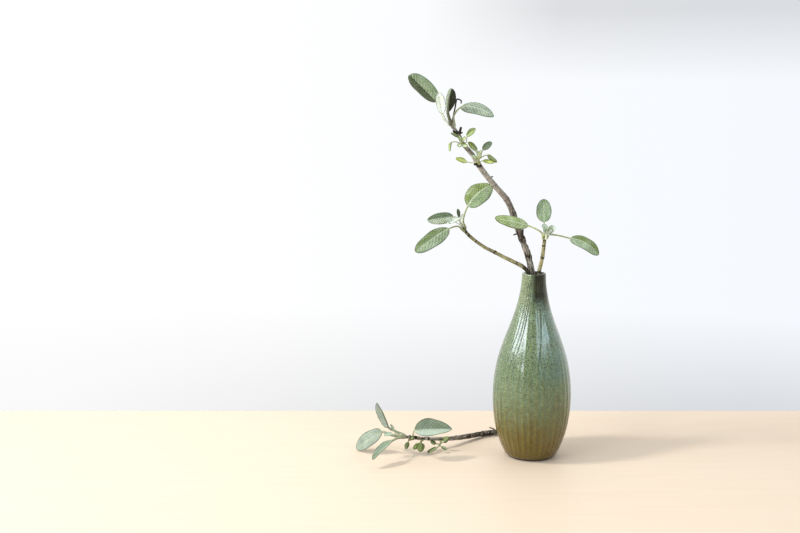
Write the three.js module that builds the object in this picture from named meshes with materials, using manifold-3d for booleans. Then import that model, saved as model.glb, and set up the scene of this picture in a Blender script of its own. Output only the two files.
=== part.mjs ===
// A sage ikebana: one forked, leafy sage branch stands in a fluted and glazed bottle vase, and a cut sage
// sprig lies on the table behind the foot of the vase.
// Millimetres, +Z up. The origin is the centre of the vase's foot, and -Y is the front.
import * as THREE from "three";
import { mergeVertices } from "three/addons/utils/BufferGeometryUtils.js";
import Module from "manifold-3d";

const wasm = await Module();
wasm.setup();

// Driving dimensions

const gap = 0.3; // clearance between two pieces that touch

const vaseSize = {
  height: 190,
  mouthRadius: 12.1,
  throatRadius: 8.4,
  floor: 5,
  flutes: 36,
  fluteDepth: 0.7,
};

// Outside of the vase as [radius, height], from the foot to the lip.
const vaseOutline = [
  [27.2, 3.6],
  [31.5, 13],
  [36.2, 28],
  [38.9, 45],
  [39.8, 64],
  [38.7, 82],
  [35.2, 102],
  [28.9, 122],
  [21.4, 142],
  [15.8, 161],
  [13.0, 177],
  [vaseSize.mouthRadius, vaseSize.height - 1.2],
];
const footRadius = 24;

// Inside of the vase as [radius, height], from the floor to the throat.
const cavityLine = [
  [22.8, 4],
  [26.4, 13],
  [31.0, 28],
  [34.1, 45],
  [35.3, 64],
  [34.3, 82],
  [30.8, 102],
  [24.6, 122],
  [17.1, 142],
  [11.6, 161],
  [8.9, 177],
  [vaseSize.throatRadius, vaseSize.height - 1.2],
];

const waterLevel = 118;

const bladeThickness = 0.7;
const petioleRadius = 0.85;

const colours = {
  glaze: "#7f9a78",
  water: "#dcebe8",
  bark: "#7d7268",
  greenwood: "#a39a6c",
  leaf: "#8fae82",
  paleLeaf: "#c9d6c4",
  youngLeaf: "#a3bd62",
  sprigWood: "#6f655c",
};

// Helpers: solids from three.js geometry

const point = (p) => new THREE.Vector3(...p);

function solidOf(geometry) {
  const bare = new THREE.BufferGeometry();
  bare.setAttribute("position", geometry.getAttribute("position"));
  bare.setIndex(geometry.index);
  const merged = mergeVertices(bare, 1e-4);
  return new wasm.Manifold(
    new wasm.Mesh({
      numProp: 3,
      vertProperties: new Float32Array(merged.getAttribute("position").array),
      triVerts: new Uint32Array(merged.index.array),
    }),
  );
}

function geometryOf(solid) {
  const mesh = solid.getMesh();
  const geometry = new THREE.BufferGeometry();
  geometry.setAttribute("position", new THREE.BufferAttribute(mesh.vertProperties, 3));
  geometry.setIndex(new THREE.BufferAttribute(mesh.triVerts, 1));
  geometry.computeVertexNormals();
  return geometry;
}

function indexed(points, index) {
  const geometry = new THREE.BufferGeometry();
  geometry.setFromPoints(points);
  geometry.setIndex(index);
  return geometry;
}

// A closed skin over rings of points, with a fan over each end ring.
function loft(rings) {
  const sides = rings[0].length;
  const points = rings.flat();
  const index = [];
  for (let i = 0; i < rings.length - 1; i++) {
    for (let k = 0; k < sides; k++) {
      const a = i * sides + k;
      const b = i * sides + ((k + 1) % sides);
      index.push(a, b, b + sides, a, b + sides, a + sides);
    }
  }
  const last = (rings.length - 1) * sides;
  for (const [start, first] of [[0, true], [last, false]]) {
    const centre = new THREE.Vector3();
    for (let k = 0; k < sides; k++) centre.addScaledVector(points[start + k], 1 / sides);
    points.push(centre);
    for (let k = 0; k < sides; k++) {
      const a = start + k;
      const b = start + ((k + 1) % sides);
      index.push(...(first ? [b, a, points.length - 1] : [a, b, points.length - 1]));
    }
  }
  return indexed(points, index);
}

// A round rod along a curve, with the radius given at each share of its length.
function rod(curve, radiusAt, sides, shares) {
  const rings = [];
  const tangent = curve.getTangentAt(shares[0]);
  let side = new THREE.Vector3(0.31, 0.95, 0.11).cross(tangent).normalize();
  for (const share of shares) {
    curve.getTangentAt(share, tangent);
    side = side.addScaledVector(tangent, -side.dot(tangent)).normalize();
    const up = new THREE.Vector3().crossVectors(tangent, side);
    const centre = curve.getPointAt(share);
    const ring = [];
    for (let k = 0; k < sides; k++) {
      const angle = (2 * Math.PI * k) / sides;
      ring.push(
        centre
          .clone()
          .addScaledVector(side, radiusAt(share) * Math.cos(angle))
          .addScaledVector(up, radiusAt(share) * Math.sin(angle)),
      );
    }
    rings.push(ring);
  }
  return solidOf(loft(rings));
}

const evenShares = (steps) => Array.from({ length: steps + 1 }, (_, i) => i / steps);

// A value read off a list that is spread evenly from share 0 to share 1.
function listValue(list, share) {
  const at = THREE.MathUtils.clamp(share, 0, 1) * (list.length - 1);
  const i = Math.min(Math.floor(at), list.length - 2);
  return THREE.MathUtils.lerp(list[i], list[i + 1], at - i);
}

const fuse = (solids) => solids.reduce((all, next) => all.add(next));

function piece(name, solid, colour, roughness = 0.8) {
  const material = new THREE.MeshStandardMaterial({ color: colour, roughness, metalness: 0 });
  const mesh = new THREE.Mesh(geometryOf(solid), material);
  mesh.name = name;
  return mesh;
}

// The vase and the water

// The radius at a height, on a smooth line through an outline.
function radiusOn(outline) {
  const curve = new THREE.SplineCurve(outline.map(([r, z]) => new THREE.Vector2(r, z)));
  return (height) => {
    let low = 0;
    let high = 1;
    for (let i = 0; i < 30; i++) {
      const middle = (low + high) / 2;
      if (curve.getPoint(middle).y < height) low = middle;
      else high = middle;
    }
    return curve.getPoint(low).x;
  };
}

const vaseRadius = radiusOn(vaseOutline);
const cavityRadius = radiusOn(cavityLine);

// Carved flutes: a shallow hollow between two ridges, which fade out at the foot and the lip.
function fluteInset(angle, height) {
  const across = Math.abs(((angle * vaseSize.flutes) / (2 * Math.PI)) % 1);
  const hollow = 1 - (2 * across - 1) ** 2;
  const body = vaseRadius(height) / 39.8;
  const ends = THREE.MathUtils.smoothstep(height, 2, 12) * THREE.MathUtils.smoothstep(190 - height, 1, 8);
  return vaseSize.fluteDepth * hollow * body * ends;
}

function turned(outline, sides) {
  return new THREE.LatheGeometry(
    outline.map(([r, z]) => new THREE.Vector2(r, z)),
    sides,
  ).rotateX(Math.PI / 2);
}

function makeVase() {
  const rings = [4, 9, 18, 30, 45, 62, 79, 95, 110, 124, 138, 152, 166, 180];
  const outline = [
    [0, 0],
    [footRadius - 0.8, 0],
    [footRadius + 0.3, 1.2],
    ...rings.map((z) => [vaseRadius(z), z]),
    [vaseSize.mouthRadius, vaseSize.height - 1.1],
    [vaseSize.mouthRadius - 1, vaseSize.height],
    [0, vaseSize.height],
  ];
  const outside = turned(outline, vaseSize.flutes * 2);
  const position = outside.getAttribute("position");
  for (let i = 0; i < position.count; i++) {
    const [x, y, z] = [position.getX(i), position.getY(i), position.getZ(i)];
    const radius = Math.hypot(x, y);
    if (radius < 1 || z < 2 || z > vaseSize.height - 1.2) continue;
    const angle = (Math.atan2(y, x) + 2 * Math.PI) % (2 * Math.PI);
    const scale = 1 - fluteInset(angle + 1e-6, z) / radius;
    position.setXY(i, x * scale, y * scale);
  }
  const inside = turned(cavityOutline(0, vaseSize.height + 1), 28);
  return solidOf(outside).subtract(solidOf(inside));
}

// Inside of the vase up to a height, drawn in by a clearance.
function cavityOutline(clearance, top) {
  const heights = [12, 26, 44, 64, 84, 104, 122, 140, 158, 174];
  const outline = [
    [0, vaseSize.floor + clearance],
    [18 - clearance, vaseSize.floor + clearance],
    ...heights.filter((z) => z < top - 3).map((z) => [cavityRadius(z) - clearance, z]),
  ];
  if (top > vaseSize.height) {
    outline.push([vaseSize.throatRadius, vaseSize.height - 1.5]);
    outline.push([vaseSize.throatRadius + 1.6, top]);
  } else {
    outline.push([cavityRadius(top) - clearance, top]);
  }
  outline.push([0, top]);
  return outline;
}

// Water round the branch, which stands in a plain hole in it.
function makeWater(branch) {
  const body = solidOf(turned(cavityOutline(gap, waterLevel), 28));
  const below = branch.curve.getPointAt(0).addScaledVector(branch.curve.getTangentAt(0), -8);
  const wetShares = [0, 0.12, 0.24, 0.36];
  const curve = new THREE.CatmullRomCurve3([below, ...wetShares.map((share) => branch.curve.getPointAt(share))]);
  return body.subtract(rod(curve, () => branch.radiusAt(0) + gap + 0.3, 10, evenShares(8)));
}

// Woody stems

// A limb has points along its middle, radii along its length, rings where leaves have grown, and stubs.
function limb({ points, radii, rings = [], ringSwell = 0.22, sides = 8, steps = 20, stubs = [] }) {
  const curve = new THREE.CatmullRomCurve3(points.map(point), false, "centripetal");
  curve.arcLengthDivisions = 400;
  const ringShares = rings.map((place) => shareNear(curve, place));
  const ringHalf = 1.1 / curve.getLength();
  const radiusAt = (share) => {
    const swell = ringShares.reduce((most, r) => Math.max(most, 1 - Math.abs(share - r) / ringHalf), 0);
    return listValue(radii, share) * (1 + ringSwell * swell);
  };
  const shares = evenShares(steps).filter((s) => ringShares.every((r) => Math.abs(s - r) > 1.6 * ringHalf));
  for (const r of ringShares) shares.push(...[r - ringHalf, r, r + ringHalf].filter((s) => s > 0 && s < 1));
  shares.sort((a, b) => a - b);
  const made = { curve, radiusAt, parts: [rod(curve, radiusAt, sides, shares)] };
  for (const stub of stubs) made.parts.push(makeStub(made, stub));
  return made;
}

// The share of a curve's length that passes nearest to a place.
function shareNear(curve, place) {
  const target = point(place);
  let best = 0;
  for (let i = 0; i <= 1000; i++) {
    const better = curve.getPointAt(i / 1000).distanceTo(target) < curve.getPointAt(best).distanceTo(target);
    if (better) best = i / 1000;
  }
  return best;
}

// A short dead twig or bud, sunk into the limb.
function makeStub(host, { at, path, radii }) {
  const root = host.curve.getPointAt(shareNear(host.curve, at));
  const curve = new THREE.CatmullRomCurve3([root, ...path.map(point)], false, "centripetal");
  return rod(curve, (share) => listValue(radii, share), 5, evenShares(path.length * 2));
}

// The place on a limb's bark that faces a target, held off by the clearance.
function barkPlace(host, at, target) {
  const share = shareNear(host.curve, at);
  const centre = host.curve.getPointAt(share);
  const tangent = host.curve.getTangentAt(share);
  const out = target.clone().sub(centre);
  out.addScaledVector(tangent, -out.dot(tangent)).normalize();
  return { place: centre.addScaledVector(out, host.radiusAt(share) + gap), out };
}

// Leaves

// Half the width of a sage blade at a share of its length: oblong, round at the base, blunt at the tip.
function bladeOutline(share) {
  const moved = share ** 0.93;
  return Math.max(0.08, (1 - Math.abs(2 * moved - 1) ** 2.1) ** 0.52 * (1.02 - 0.04 * share));
}

// The middle line and the side directions of a blade; it bows toward its face and sweeps to its side.
function bladeFrame({ base, tip, face, bow = 0, sweep = 0, fold = 0, cup = 0, width }) {
  const start = point(base);
  const along = point(tip).sub(start);
  const length = along.length();
  along.normalize();
  const up = point(face);
  up.addScaledVector(along, -up.dot(along)).normalize();
  const side = new THREE.Vector3().crossVectors(up, along);
  const middle = (u) =>
    start
      .clone()
      .addScaledVector(along, length * u)
      .addScaledVector(up, bow * 4 * u * (1 - u))
      .addScaledVector(side, sweep * 4 * u * (1 - u));
  const angle = THREE.MathUtils.degToRad(fold);
  // v runs from -1 to 1 across the blade; fold lifts both halves, and cup curls their edges on.
  const surface = (u, v, half) => {
    const reach = half * Math.abs(v);
    const lift = reach * Math.sin(angle) + cup * (half / (width / 2)) * v * v;
    return middle(u)
      .addScaledVector(side, Math.sign(v) * reach * Math.cos(angle))
      .addScaledVector(up, lift);
  };
  return { up, middle, surface };
}

// A thin blade with a scalloped edge, quilted between its side veins.
function makeBlade(leaf, cells, across) {
  const frame = bladeFrame(leaf);
  const quilt = leaf.width * 0.018;
  const grid = [];
  for (let i = 0; i <= cells; i++) {
    const u = i / cells - 0.085 * Math.sin((2 * Math.PI * i) / cells);
    const scallop = 1 + (i % 2 ? 0.025 : -0.025);
    const half = (leaf.width / 2) * bladeOutline(u) * scallop;
    for (let j = 0; j <= across; j++) {
      const v = (2 * j) / across - 1;
      const wave = quilt * (i % 2 ? 1 : -1) * Math.sin(Math.PI * Math.min(1, Math.abs(v) * 1.2));
      grid.push(frame.surface(u, v, half).addScaledVector(frame.up, wave));
    }
  }
  return solidOf(slab(grid, cells, across, frame.up, bladeThickness));
}

// A sheet of points made solid: the same grid and diagonals above and below.
function slab(grid, cells, across, up, thickness) {
  const row = across + 1;
  const count = grid.length;
  const points = [
    ...grid.map((p) => p.clone().addScaledVector(up, thickness / 2)),
    ...grid.map((p) => p.clone().addScaledVector(up, -thickness / 2)),
  ];
  const index = [];
  const quad = (a, b, c, d) => index.push(a, b, c, a, c, d);
  for (let i = 0; i < cells; i++) {
    for (let j = 0; j < across; j++) {
      const a = i * row + j;
      const [b, c, d] = [a + row, a + row + 1, a + 1];
      index.push(a, b, c, a, c, d);
      index.push(a + count, c + count, b + count, a + count, d + count, c + count);
    }
  }
  for (let i = 0; i < cells; i++) {
    const near = i * row;
    const far = near + across;
    quad(near, near + count, near + row + count, near + row);
    quad(far, far + row, far + row + count, far + count);
  }
  for (let j = 0; j < across; j++) {
    const end = cells * row + j;
    quad(j, j + 1, j + 1 + count, j + count);
    quad(end, end + count, end + 1 + count, end + 1);
  }
  return indexed(points, index);
}

// A leaf stalk that leaves the bark, follows its via points and runs on under the blade as the midrib.
function makePetiole(leaf, start, out, sides, steps) {
  const frame = bladeFrame(leaf);
  const under = (u) => frame.middle(u).addScaledVector(frame.up, -bladeThickness * 0.65);
  const step = Math.min(1.4, start.distanceTo(point(leaf.base)) * 0.3);
  const points = [
    start,
    start.clone().addScaledVector(out, step),
    ...(leaf.via ?? []).map(point),
    under(0.0),
    under(0.2),
    under(leaf.ribEnd ?? 0.62),
  ];
  const curve = new THREE.CatmullRomCurve3(points, false, "centripetal");
  const thick = leaf.stalk ?? petioleRadius;
  return rod(curve, (share) => listValue([thick * 1.25, thick, thick * 0.9, thick * 0.5], share), sides, evenShares(steps));
}

// One large leaf with its stalk, seated on a limb.
function leafOn(host, leaf) {
  const target = point((leaf.via ?? [leaf.base])[0]);
  const { place, out } = barkPlace(host, leaf.at, target);
  const blade = makeBlade(leaf, leaf.cells ?? 10, 4);
  return blade.add(makePetiole(leaf, place, out, 5, leaf.steps ?? 8)).simplify(0.05);
}

// A spray is a short green shoot on a limb, with its small leaves fused to it.
function sprayOn(host, { at, axis, radii, leaves }) {
  const target = point(axis[0]);
  const { place, out } = barkPlace(host, at, target);
  const knee = place.clone().addScaledVector(out, 1.2);
  const curve = new THREE.CatmullRomCurve3([place, knee, ...axis.map(point)], false, "centripetal");
  const solids = [rod(curve, (share) => listValue(radii, share), 6, evenShares(5))];
  for (const leaf of leaves) {
    const root = curve.getPointAt(leaf.from);
    const out = point((leaf.via ?? [leaf.base])[0]).sub(root).normalize();
    const small = { stalk: 0.55, ribEnd: 0.4, ...leaf };
    solids.push(makePetiole(small, root, out, 4, 3).add(makeBlade(small, 5, 2)));
  }
  return fuse(solids).simplify(0.05);
}

// The branch in the vase: a leaning woody stem, with a long shoot to the left and a short one to the right

const mainBranch = limb({
  points: [
    [14, 2.5, 5.6],
    [10.5, 3, 60],
    [5.5, 3.4, 125],
    [-1.9, 3.6, 190],
    [-7.9, 2.5, 212.5],
    [-16.5, 1.5, 234],
    [-22, 1, 250],
    [-28, 1, 263],
    [-38.5, 0, 275.5],
    [-48, -0.5, 286.5],
    [-57, -1, 298.5],
    [-64, -1, 309.5],
    [-72, -2, 318.5],
    [-77, -2, 327.5],
    [-82.5, -2, 335.5],
    [-86, -2.5, 340],
  ],
  radii: [4.0, 4.0, 4.0, 3.95, 3.9, 3.75, 3.55, 3.4, 3.2, 3.0, 2.8, 2.3, 1.6],
  rings: [[-12, 2, 225], [-22, 1, 250], [-29, 1, 264], [-41, 0, 278.5], [-57, -1, 299.5], [-72, -2, 318.6], [-77, -2, 326.4], [-83, -2, 336]],
  sides: 8,
  steps: 22,
  stubs: [
    { at: [-14.5, 2, 229], path: [[-18.5, 0.5, 229.5], [-21.5, -0.5, 228.6]], radii: [1.1, 0.9, 0.5] },
    { at: [-13, 2, 226], path: [[-12.6, -1, 229], [-12.2, -1.8, 234.5]], radii: [1.3, 1.1, 0.8] },
    { at: [-47, -0.5, 285.6], path: [[-45.5, -0.8, 286.4], [-42.6, -1, 287.2]], radii: [0.7, 0.8, 0.5] },
    { at: [-77, -2, 328], path: [[-76.4, -3.4, 331], [-75, -4, 336]], radii: [1.1, 1.0, 0.7] },
    {
      at: [-84, -2, 338],
      path: [[-82.6, 0.5, 346], [-80.6, 2, 355], [-78.9, 3, 362.6], [-76.4, 3, 363], [-74.8, 3, 361.2], [-75, 3, 359]],
      radii: [0.95, 0.7, 0.6, 0.6, 0.75, 0.7, 0.6],
    },
  ],
});

// A shoot that forks from the branch inside the mouth: its root is seated on the bark.
function forkShoot({ at, points, ...rest }) {
  const { place, out } = barkPlace(mainBranch, at, point(points[0]));
  const knee = place.clone().addScaledVector(out, 1.4);
  return limb({ points: [place.toArray(), knee.toArray(), ...points], ...rest });
}

const leftShoot = forkShoot({
  at: [0, 3.6, 177],
  points: [
    [-4.5, -2.7, 182.5],
    [-4.6, -3, 188.4],
    [-8.2, -2.8, 193.6],
    [-12.6, -2.4, 197.4],
    [-20.5, -1.4, 201.4],
    [-30.8, 0, 206.3],
    [-39.4, 2, 210.6],
    [-49.4, 4, 215.4],
    [-58.8, 6, 221.6],
    [-65.3, 7, 227],
    [-68.6, 7.5, 230.6],
    [-71, 8, 235],
  ],
  radii: [1.8, 1.85, 2.1, 2.0, 1.9, 1.85, 1.75, 1.7, 1.65, 1.55],
  rings: [[-14, -2, 198.4], [-26, -1, 204], [-39.4, 2, 210.6], [-58.8, 6, 221.6], [-65.3, 7, 227], [-68.6, 7.5, 230.6]],
  sides: 7,
  steps: 18,
});

const rightShoot = forkShoot({
  at: [0.4, 3.6, 174],
  points: [
    [4.2, -1.6, 181],
    [4.7, -1.6, 190.6],
    [6.2, -1.8, 198.2],
    [7.8, -3, 206.6],
    [8.7, -4.8, 219],
    [9.6, -6, 227.6],
  ],
  radii: [1.9, 2.0, 2.0, 1.95, 1.9, 1.7],
  rings: [[6.2, -1.8, 198], [7.8, -3, 206.6], [8.7, -4.8, 219], [9.2, -5.5, 224]],
  sides: 7,
  steps: 12,
});

const branchLeaves = {
  top_leaf_far_left: {
    at: [-83.4, -2.1, 336.8],
    base: [-99.8, -0.4, 360.6],
    tip: [-126, -11, 386.4],
    face: [-0.36, -0.86, -0.37],
    width: 21.5,
    fold: -30,
    bow: 1,
    via: [[-90.2, 0.6, 342], [-95, 1.2, 351.6]],
  },
  top_leaf_upright: {
    at: [-85.4, -2.4, 339.2],
    base: [-88.2, -9.4, 350.6],
    tip: [-85, -16, 373.5],
    face: [-0.35, 0.9, 0.25],
    width: 14.5,
    fold: 20,
    bow: -1.2,
    via: [[-85.8, -7, 344.2]],
  },
  top_leaf_pale: {
    at: [-84.6, -2.3, 338.2],
    base: [-92.3, -5.2, 350],
    tip: [-95.2, -7.6, 369.5],
    face: [-0.25, -0.9, 0.2],
    width: 10,
    fold: 14,
    bow: -1,
    via: [[-90, -3.2, 344]],
  },
  top_leaf_right: {
    at: [-82, -2, 335],
    base: [-75, -3.5, 355.8],
    tip: [-43.8, -14, 346.6],
    face: [0.2, -0.8, 0.55],
    width: 15.5,
    fold: -9,
    bow: 1.6,
    sweep: 2.8,
    via: [[-82.2, -3.8, 347]],
  },
};

const leftLeaves = {
  left_leaf_round: {
    at: [-69.6, 7.7, 232.4],
    base: [-65.7, 11, 256.8],
    tip: [-40.6, 19.5, 276.4],
    face: [-0.3, -0.84, 0.45],
    width: 23.5,
    fold: -8,
    bow: 1.5,
    sweep: 2.4,
    via: [[-72.6, 10.2, 245]],
  },
  left_leaf_folded: {
    at: [-69.4, 7.6, 231.8],
    base: [-81.4, 14.5, 245.2],
    tip: [-107, 23, 240.6],
    face: [0, -0.95, 0.2],
    width: 13,
    fold: 30,
    bow: 1,
    via: [[-76.5, 12, 243.6]],
  },
  left_leaf_low: {
    at: [-68.8, 7.5, 231],
    base: [-86.4, 2, 234.8],
    tip: [-119.6, -12, 213.2],
    face: [-0.3, -0.8, 0.52],
    width: 18.5,
    fold: -8,
    bow: 2,
    via: [[-76.5, 4.6, 237.6]],
  },
};

const rightLeaves = {
  right_leaf_left: {
    at: [9.2, -5.5, 224.4],
    base: [-8.4, -12, 240],
    tip: [-42, -22, 248.2],
    face: [0.12, -0.76, 0.62],
    width: 14,
    fold: -6,
    bow: 1.6,
    sweep: 0.8,
    via: [[6.5, -7.6, 231], [1.5, -9.5, 235]],
  },
  right_leaf_upright: {
    at: [9.5, -5.9, 226.6],
    base: [8.7, -2.4, 242],
    tip: [8.6, 3.5, 264.3],
    face: [0.05, -0.97, 0.2],
    width: 15.5,
    fold: 10,
    bow: -1.2,
    via: [[9.3, -3.4, 235]],
  },
  right_leaf_right: {
    at: [9.3, -5.6, 225.2],
    base: [34.8, -8, 226.4],
    tip: [62.4, -14, 210.8],
    face: [0.35, -0.75, 0.56],
    width: 16,
    fold: -6,
    bow: 2,
    sweep: 2.6,
    via: [[21, -7.6, 230.2]],
  },
};

const branchSprays = {
  branch_spray_upper: {
    host: mainBranch,
    at: [-72, -2, 318.6],
    axis: [[-74.5, -7.4, 319.6], [-74.8, -8.2, 323.6]],
    radii: [1.0, 1.2, 0.9],
    leaves: [
      { from: 0.45, via: [[-70, -7, 321.5]], base: [-69.6, -8, 327.4], tip: [-61.2, -12, 334.6], face: [-0.4, -0.7, 0.6], width: 6.8, fold: 14 },
      { from: 0.75, base: [-78, -8, 326.4], tip: [-85.4, -10, 330.4], face: [0.3, -0.5, 0.8], width: 4.4, fold: 10 },
      { from: 0.5, via: [[-80, -9, 321.8]], base: [-84.8, -10, 321.6], tip: [-86, -12, 312.8], face: [-0.9, -0.35, 0.1], width: 5.2, fold: 24 },
      { from: 0.7, base: [-75.6, -9.4, 323.4], tip: [-77.6, -11, 328], face: [0.3, -0.8, 0.2], width: 3.4, fold: 20 },
      { from: 0.7, base: [-73.4, -9.4, 323], tip: [-71, -11.4, 327.2], face: [-0.4, -0.8, 0.2], width: 3.2, fold: 20 },
      { from: 0.4, base: [-75.4, -9.2, 319.4], tip: [-78.6, -11.4, 317.4], face: [0, -0.85, 0.5], width: 4.2, fold: 16 },
      { from: 0.4, base: [-72.6, -9.2, 319], tip: [-69.8, -11.6, 316.6], face: [0.1, -0.85, 0.5], width: 4.6, fold: 16 },
    ],
  },
  branch_spray_lower: {
    host: mainBranch,
    at: [-57.4, -1, 299.6],
    axis: [[-57.8, -7, 302.6], [-57.6, -8.6, 308.4]],
    radii: [1.2, 1.3, 0.9],
    leaves: [
      { from: 0.8, via: [[-58.6, -9.6, 310.4]], base: [-59.6, -10, 313.4], tip: [-68.6, -13, 321.6], face: [0.3, -0.75, 0.6], width: 6.2, fold: 10 },
      { from: 0.75, via: [[-55.4, -8.4, 309.6]], base: [-53.9, -8.4, 314.2], tip: [-45, -9.4, 321.6], face: [-0.4, -0.75, 0.5], width: 6.6, fold: 8 },
      { from: 0.65, via: [[-52.6, -8.2, 308]], base: [-48.8, -8.2, 309.2], tip: [-39.8, -10.4, 302], face: [0.45, -0.6, 0.65], width: 5.8, fold: -8 },
      { from: 0.3, base: [-53.4, -9.2, 303.8], tip: [-43.6, -15, 301.4], face: [0.15, -0.6, 0.8], width: 6, fold: 8 },
      { from: 0.35, via: [[-63.5, -9, 301.4]], base: [-69.6, -11.6, 302.8], tip: [-80.6, -16, 305.8], face: [-0.1, -0.62, 0.78], width: 6.8, fold: 6 },
      { from: 0.9, base: [-58.6, -9.8, 309.4], tip: [-61.6, -12, 314.4], face: [0.6, -0.6, 0.2], width: 3.6, fold: 24 },
      { from: 0.9, base: [-56.8, -10, 309.2], tip: [-56, -12.6, 314], face: [-0.2, -0.8, 0.2], width: 3.4, fold: 24 },
      { from: 0.45, base: [-60.2, -10.2, 305], tip: [-64.4, -14, 308.6], face: [0.4, -0.6, 0.5], width: 4.8, fold: 18 },
      { from: 0.6, base: [-57.4, -10.4, 306.4], tip: [-58.6, -14.4, 311.6], face: [0.1, -0.8, 0.3], width: 5.2, fold: 20 },
    ],
  },
  left_spray_tip: {
    host: leftShoot,
    at: [-70.6, 7.9, 234],
    axis: [[-73.6, 8.2, 237.2], [-74.8, 7.8, 241.2]],
    radii: [0.9, 1.0, 0.7],
    leaves: [
      { from: 0.75, via: [[-77.4, 6, 241.8]], base: [-80.4, 4.6, 241.6], tip: [-90.6, 1, 240.8], face: [0.05, -0.5, 0.85], width: 6.2, fold: 22 },
      { from: 0.95, base: [-75.6, 7, 244.8], tip: [-76.9, 8, 254], face: [0.5, -0.85, 0.1], width: 3.8, fold: 22 },
      { from: 0.95, base: [-73.8, 5.4, 243.4], tip: [-71.6, 3, 249.6], face: [-0.6, 0.6, 0.4], width: 3.4, fold: 24 },
    ],
  },
  right_spray_tip: {
    host: rightShoot,
    at: [9.4, -5.8, 226],
    axis: [[10.4, -8.8, 228.6], [10.9, -9.2, 230.4]],
    radii: [0.9, 1.0, 0.8],
    leaves: [
      { from: 0.9, base: [9.4, -9.6, 232], tip: [5.4, -11.4, 239.6], face: [0.8, -0.4, 0.2], width: 8.4, fold: 20, cup: 1.6 },
      { from: 0.9, base: [12.6, -9.6, 231.2], tip: [19, -11, 236.2], face: [-0.5, -0.2, 0.85], width: 8.6, fold: 20, cup: 1.8 },
    ],
  },
};

// The laid sprig: it rests on the table on its cut end and the tip of its left leaf

const sprigStem = limb({
  points: [
    [-8, 67, 3.5],
    [-30, 60.5, 3.5],
    [-46, 54, 3.8],
    [-62.2, 40.5, 5.6],
    [-82.4, 22.4, 9],
    [-100.4, 10.9, 12.5],
    [-117.3, 3.8, 15.8],
    [-134, -2.8, 19.5],
  ],
  radii: [2.95, 2.95, 2.9, 2.8, 2.6, 2.3, 2.0, 1.8, 1.5],
  rings: [
    [-38, 57.5, 3.6],
    [-46, 54, 3.8],
    [-54.1, 47.5, 4.7],
    [-62.2, 40.5, 5.6],
    [-70.3, 33.1, 7],
    [-105.4, 8.6, 13.4],
    [-117.3, 3.8, 15.8],
    [-126.2, 0.3, 17.8],
  ],
  ringSwell: 0.16,
  sides: 8,
  steps: 18,
  stubs: [{ at: [-31, 60, 3.5], path: [[-33.5, 58, 8], [-38, 57.4, 9.8]], radii: [1.1, 0.9, 0.6] }],
});

const sprigLeaves = {
  sprig_leaf_upright: {
    at: [-129.1, -0.9, 18.4],
    base: [-147.5, 1.3, 27.8],
    tip: [-158.8, 8, 52.2],
    face: [-0.74, -0.64, -0.2],
    width: 14,
    fold: 33,
    bow: -1,
    via: [[-138.5, 0.5, 23.4]],
  },
  sprig_leaf_left: {
    at: [-132.6, -2.3, 19.2],
    base: [-153.6, -0.9, 24],
    tip: [-181, 12.4, 1.7],
    face: [-0.25, -0.68, 0.68],
    width: 18.5,
    fold: 8,
    bow: 1.6,
    sweep: 0.8,
    via: [[-143.3, -2.5, 20.6]],
  },
  sprig_leaf_front: {
    at: [-130.1, -1.3, 18.6],
    base: [-142.9, -25.2, 22.9],
    tip: [-162.1, -47.2, 9.9],
    face: [-0.25, -0.2, 0.95],
    width: 9.5,
    fold: 18,
    bow: 1.4,
    via: [[-136.8, -13.1, 21.3]],
  },
  sprig_leaf_large: {
    at: [-121, 2.7, 16.6],
    base: [-120.2, -17, 30.3],
    tip: [-82.2, -17, 31.7],
    face: [0.02, -0.67, 0.74],
    width: 24,
    fold: 25,
    bow: 1,
    via: [[-121.3, -6.6, 24]],
  },
};

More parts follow.
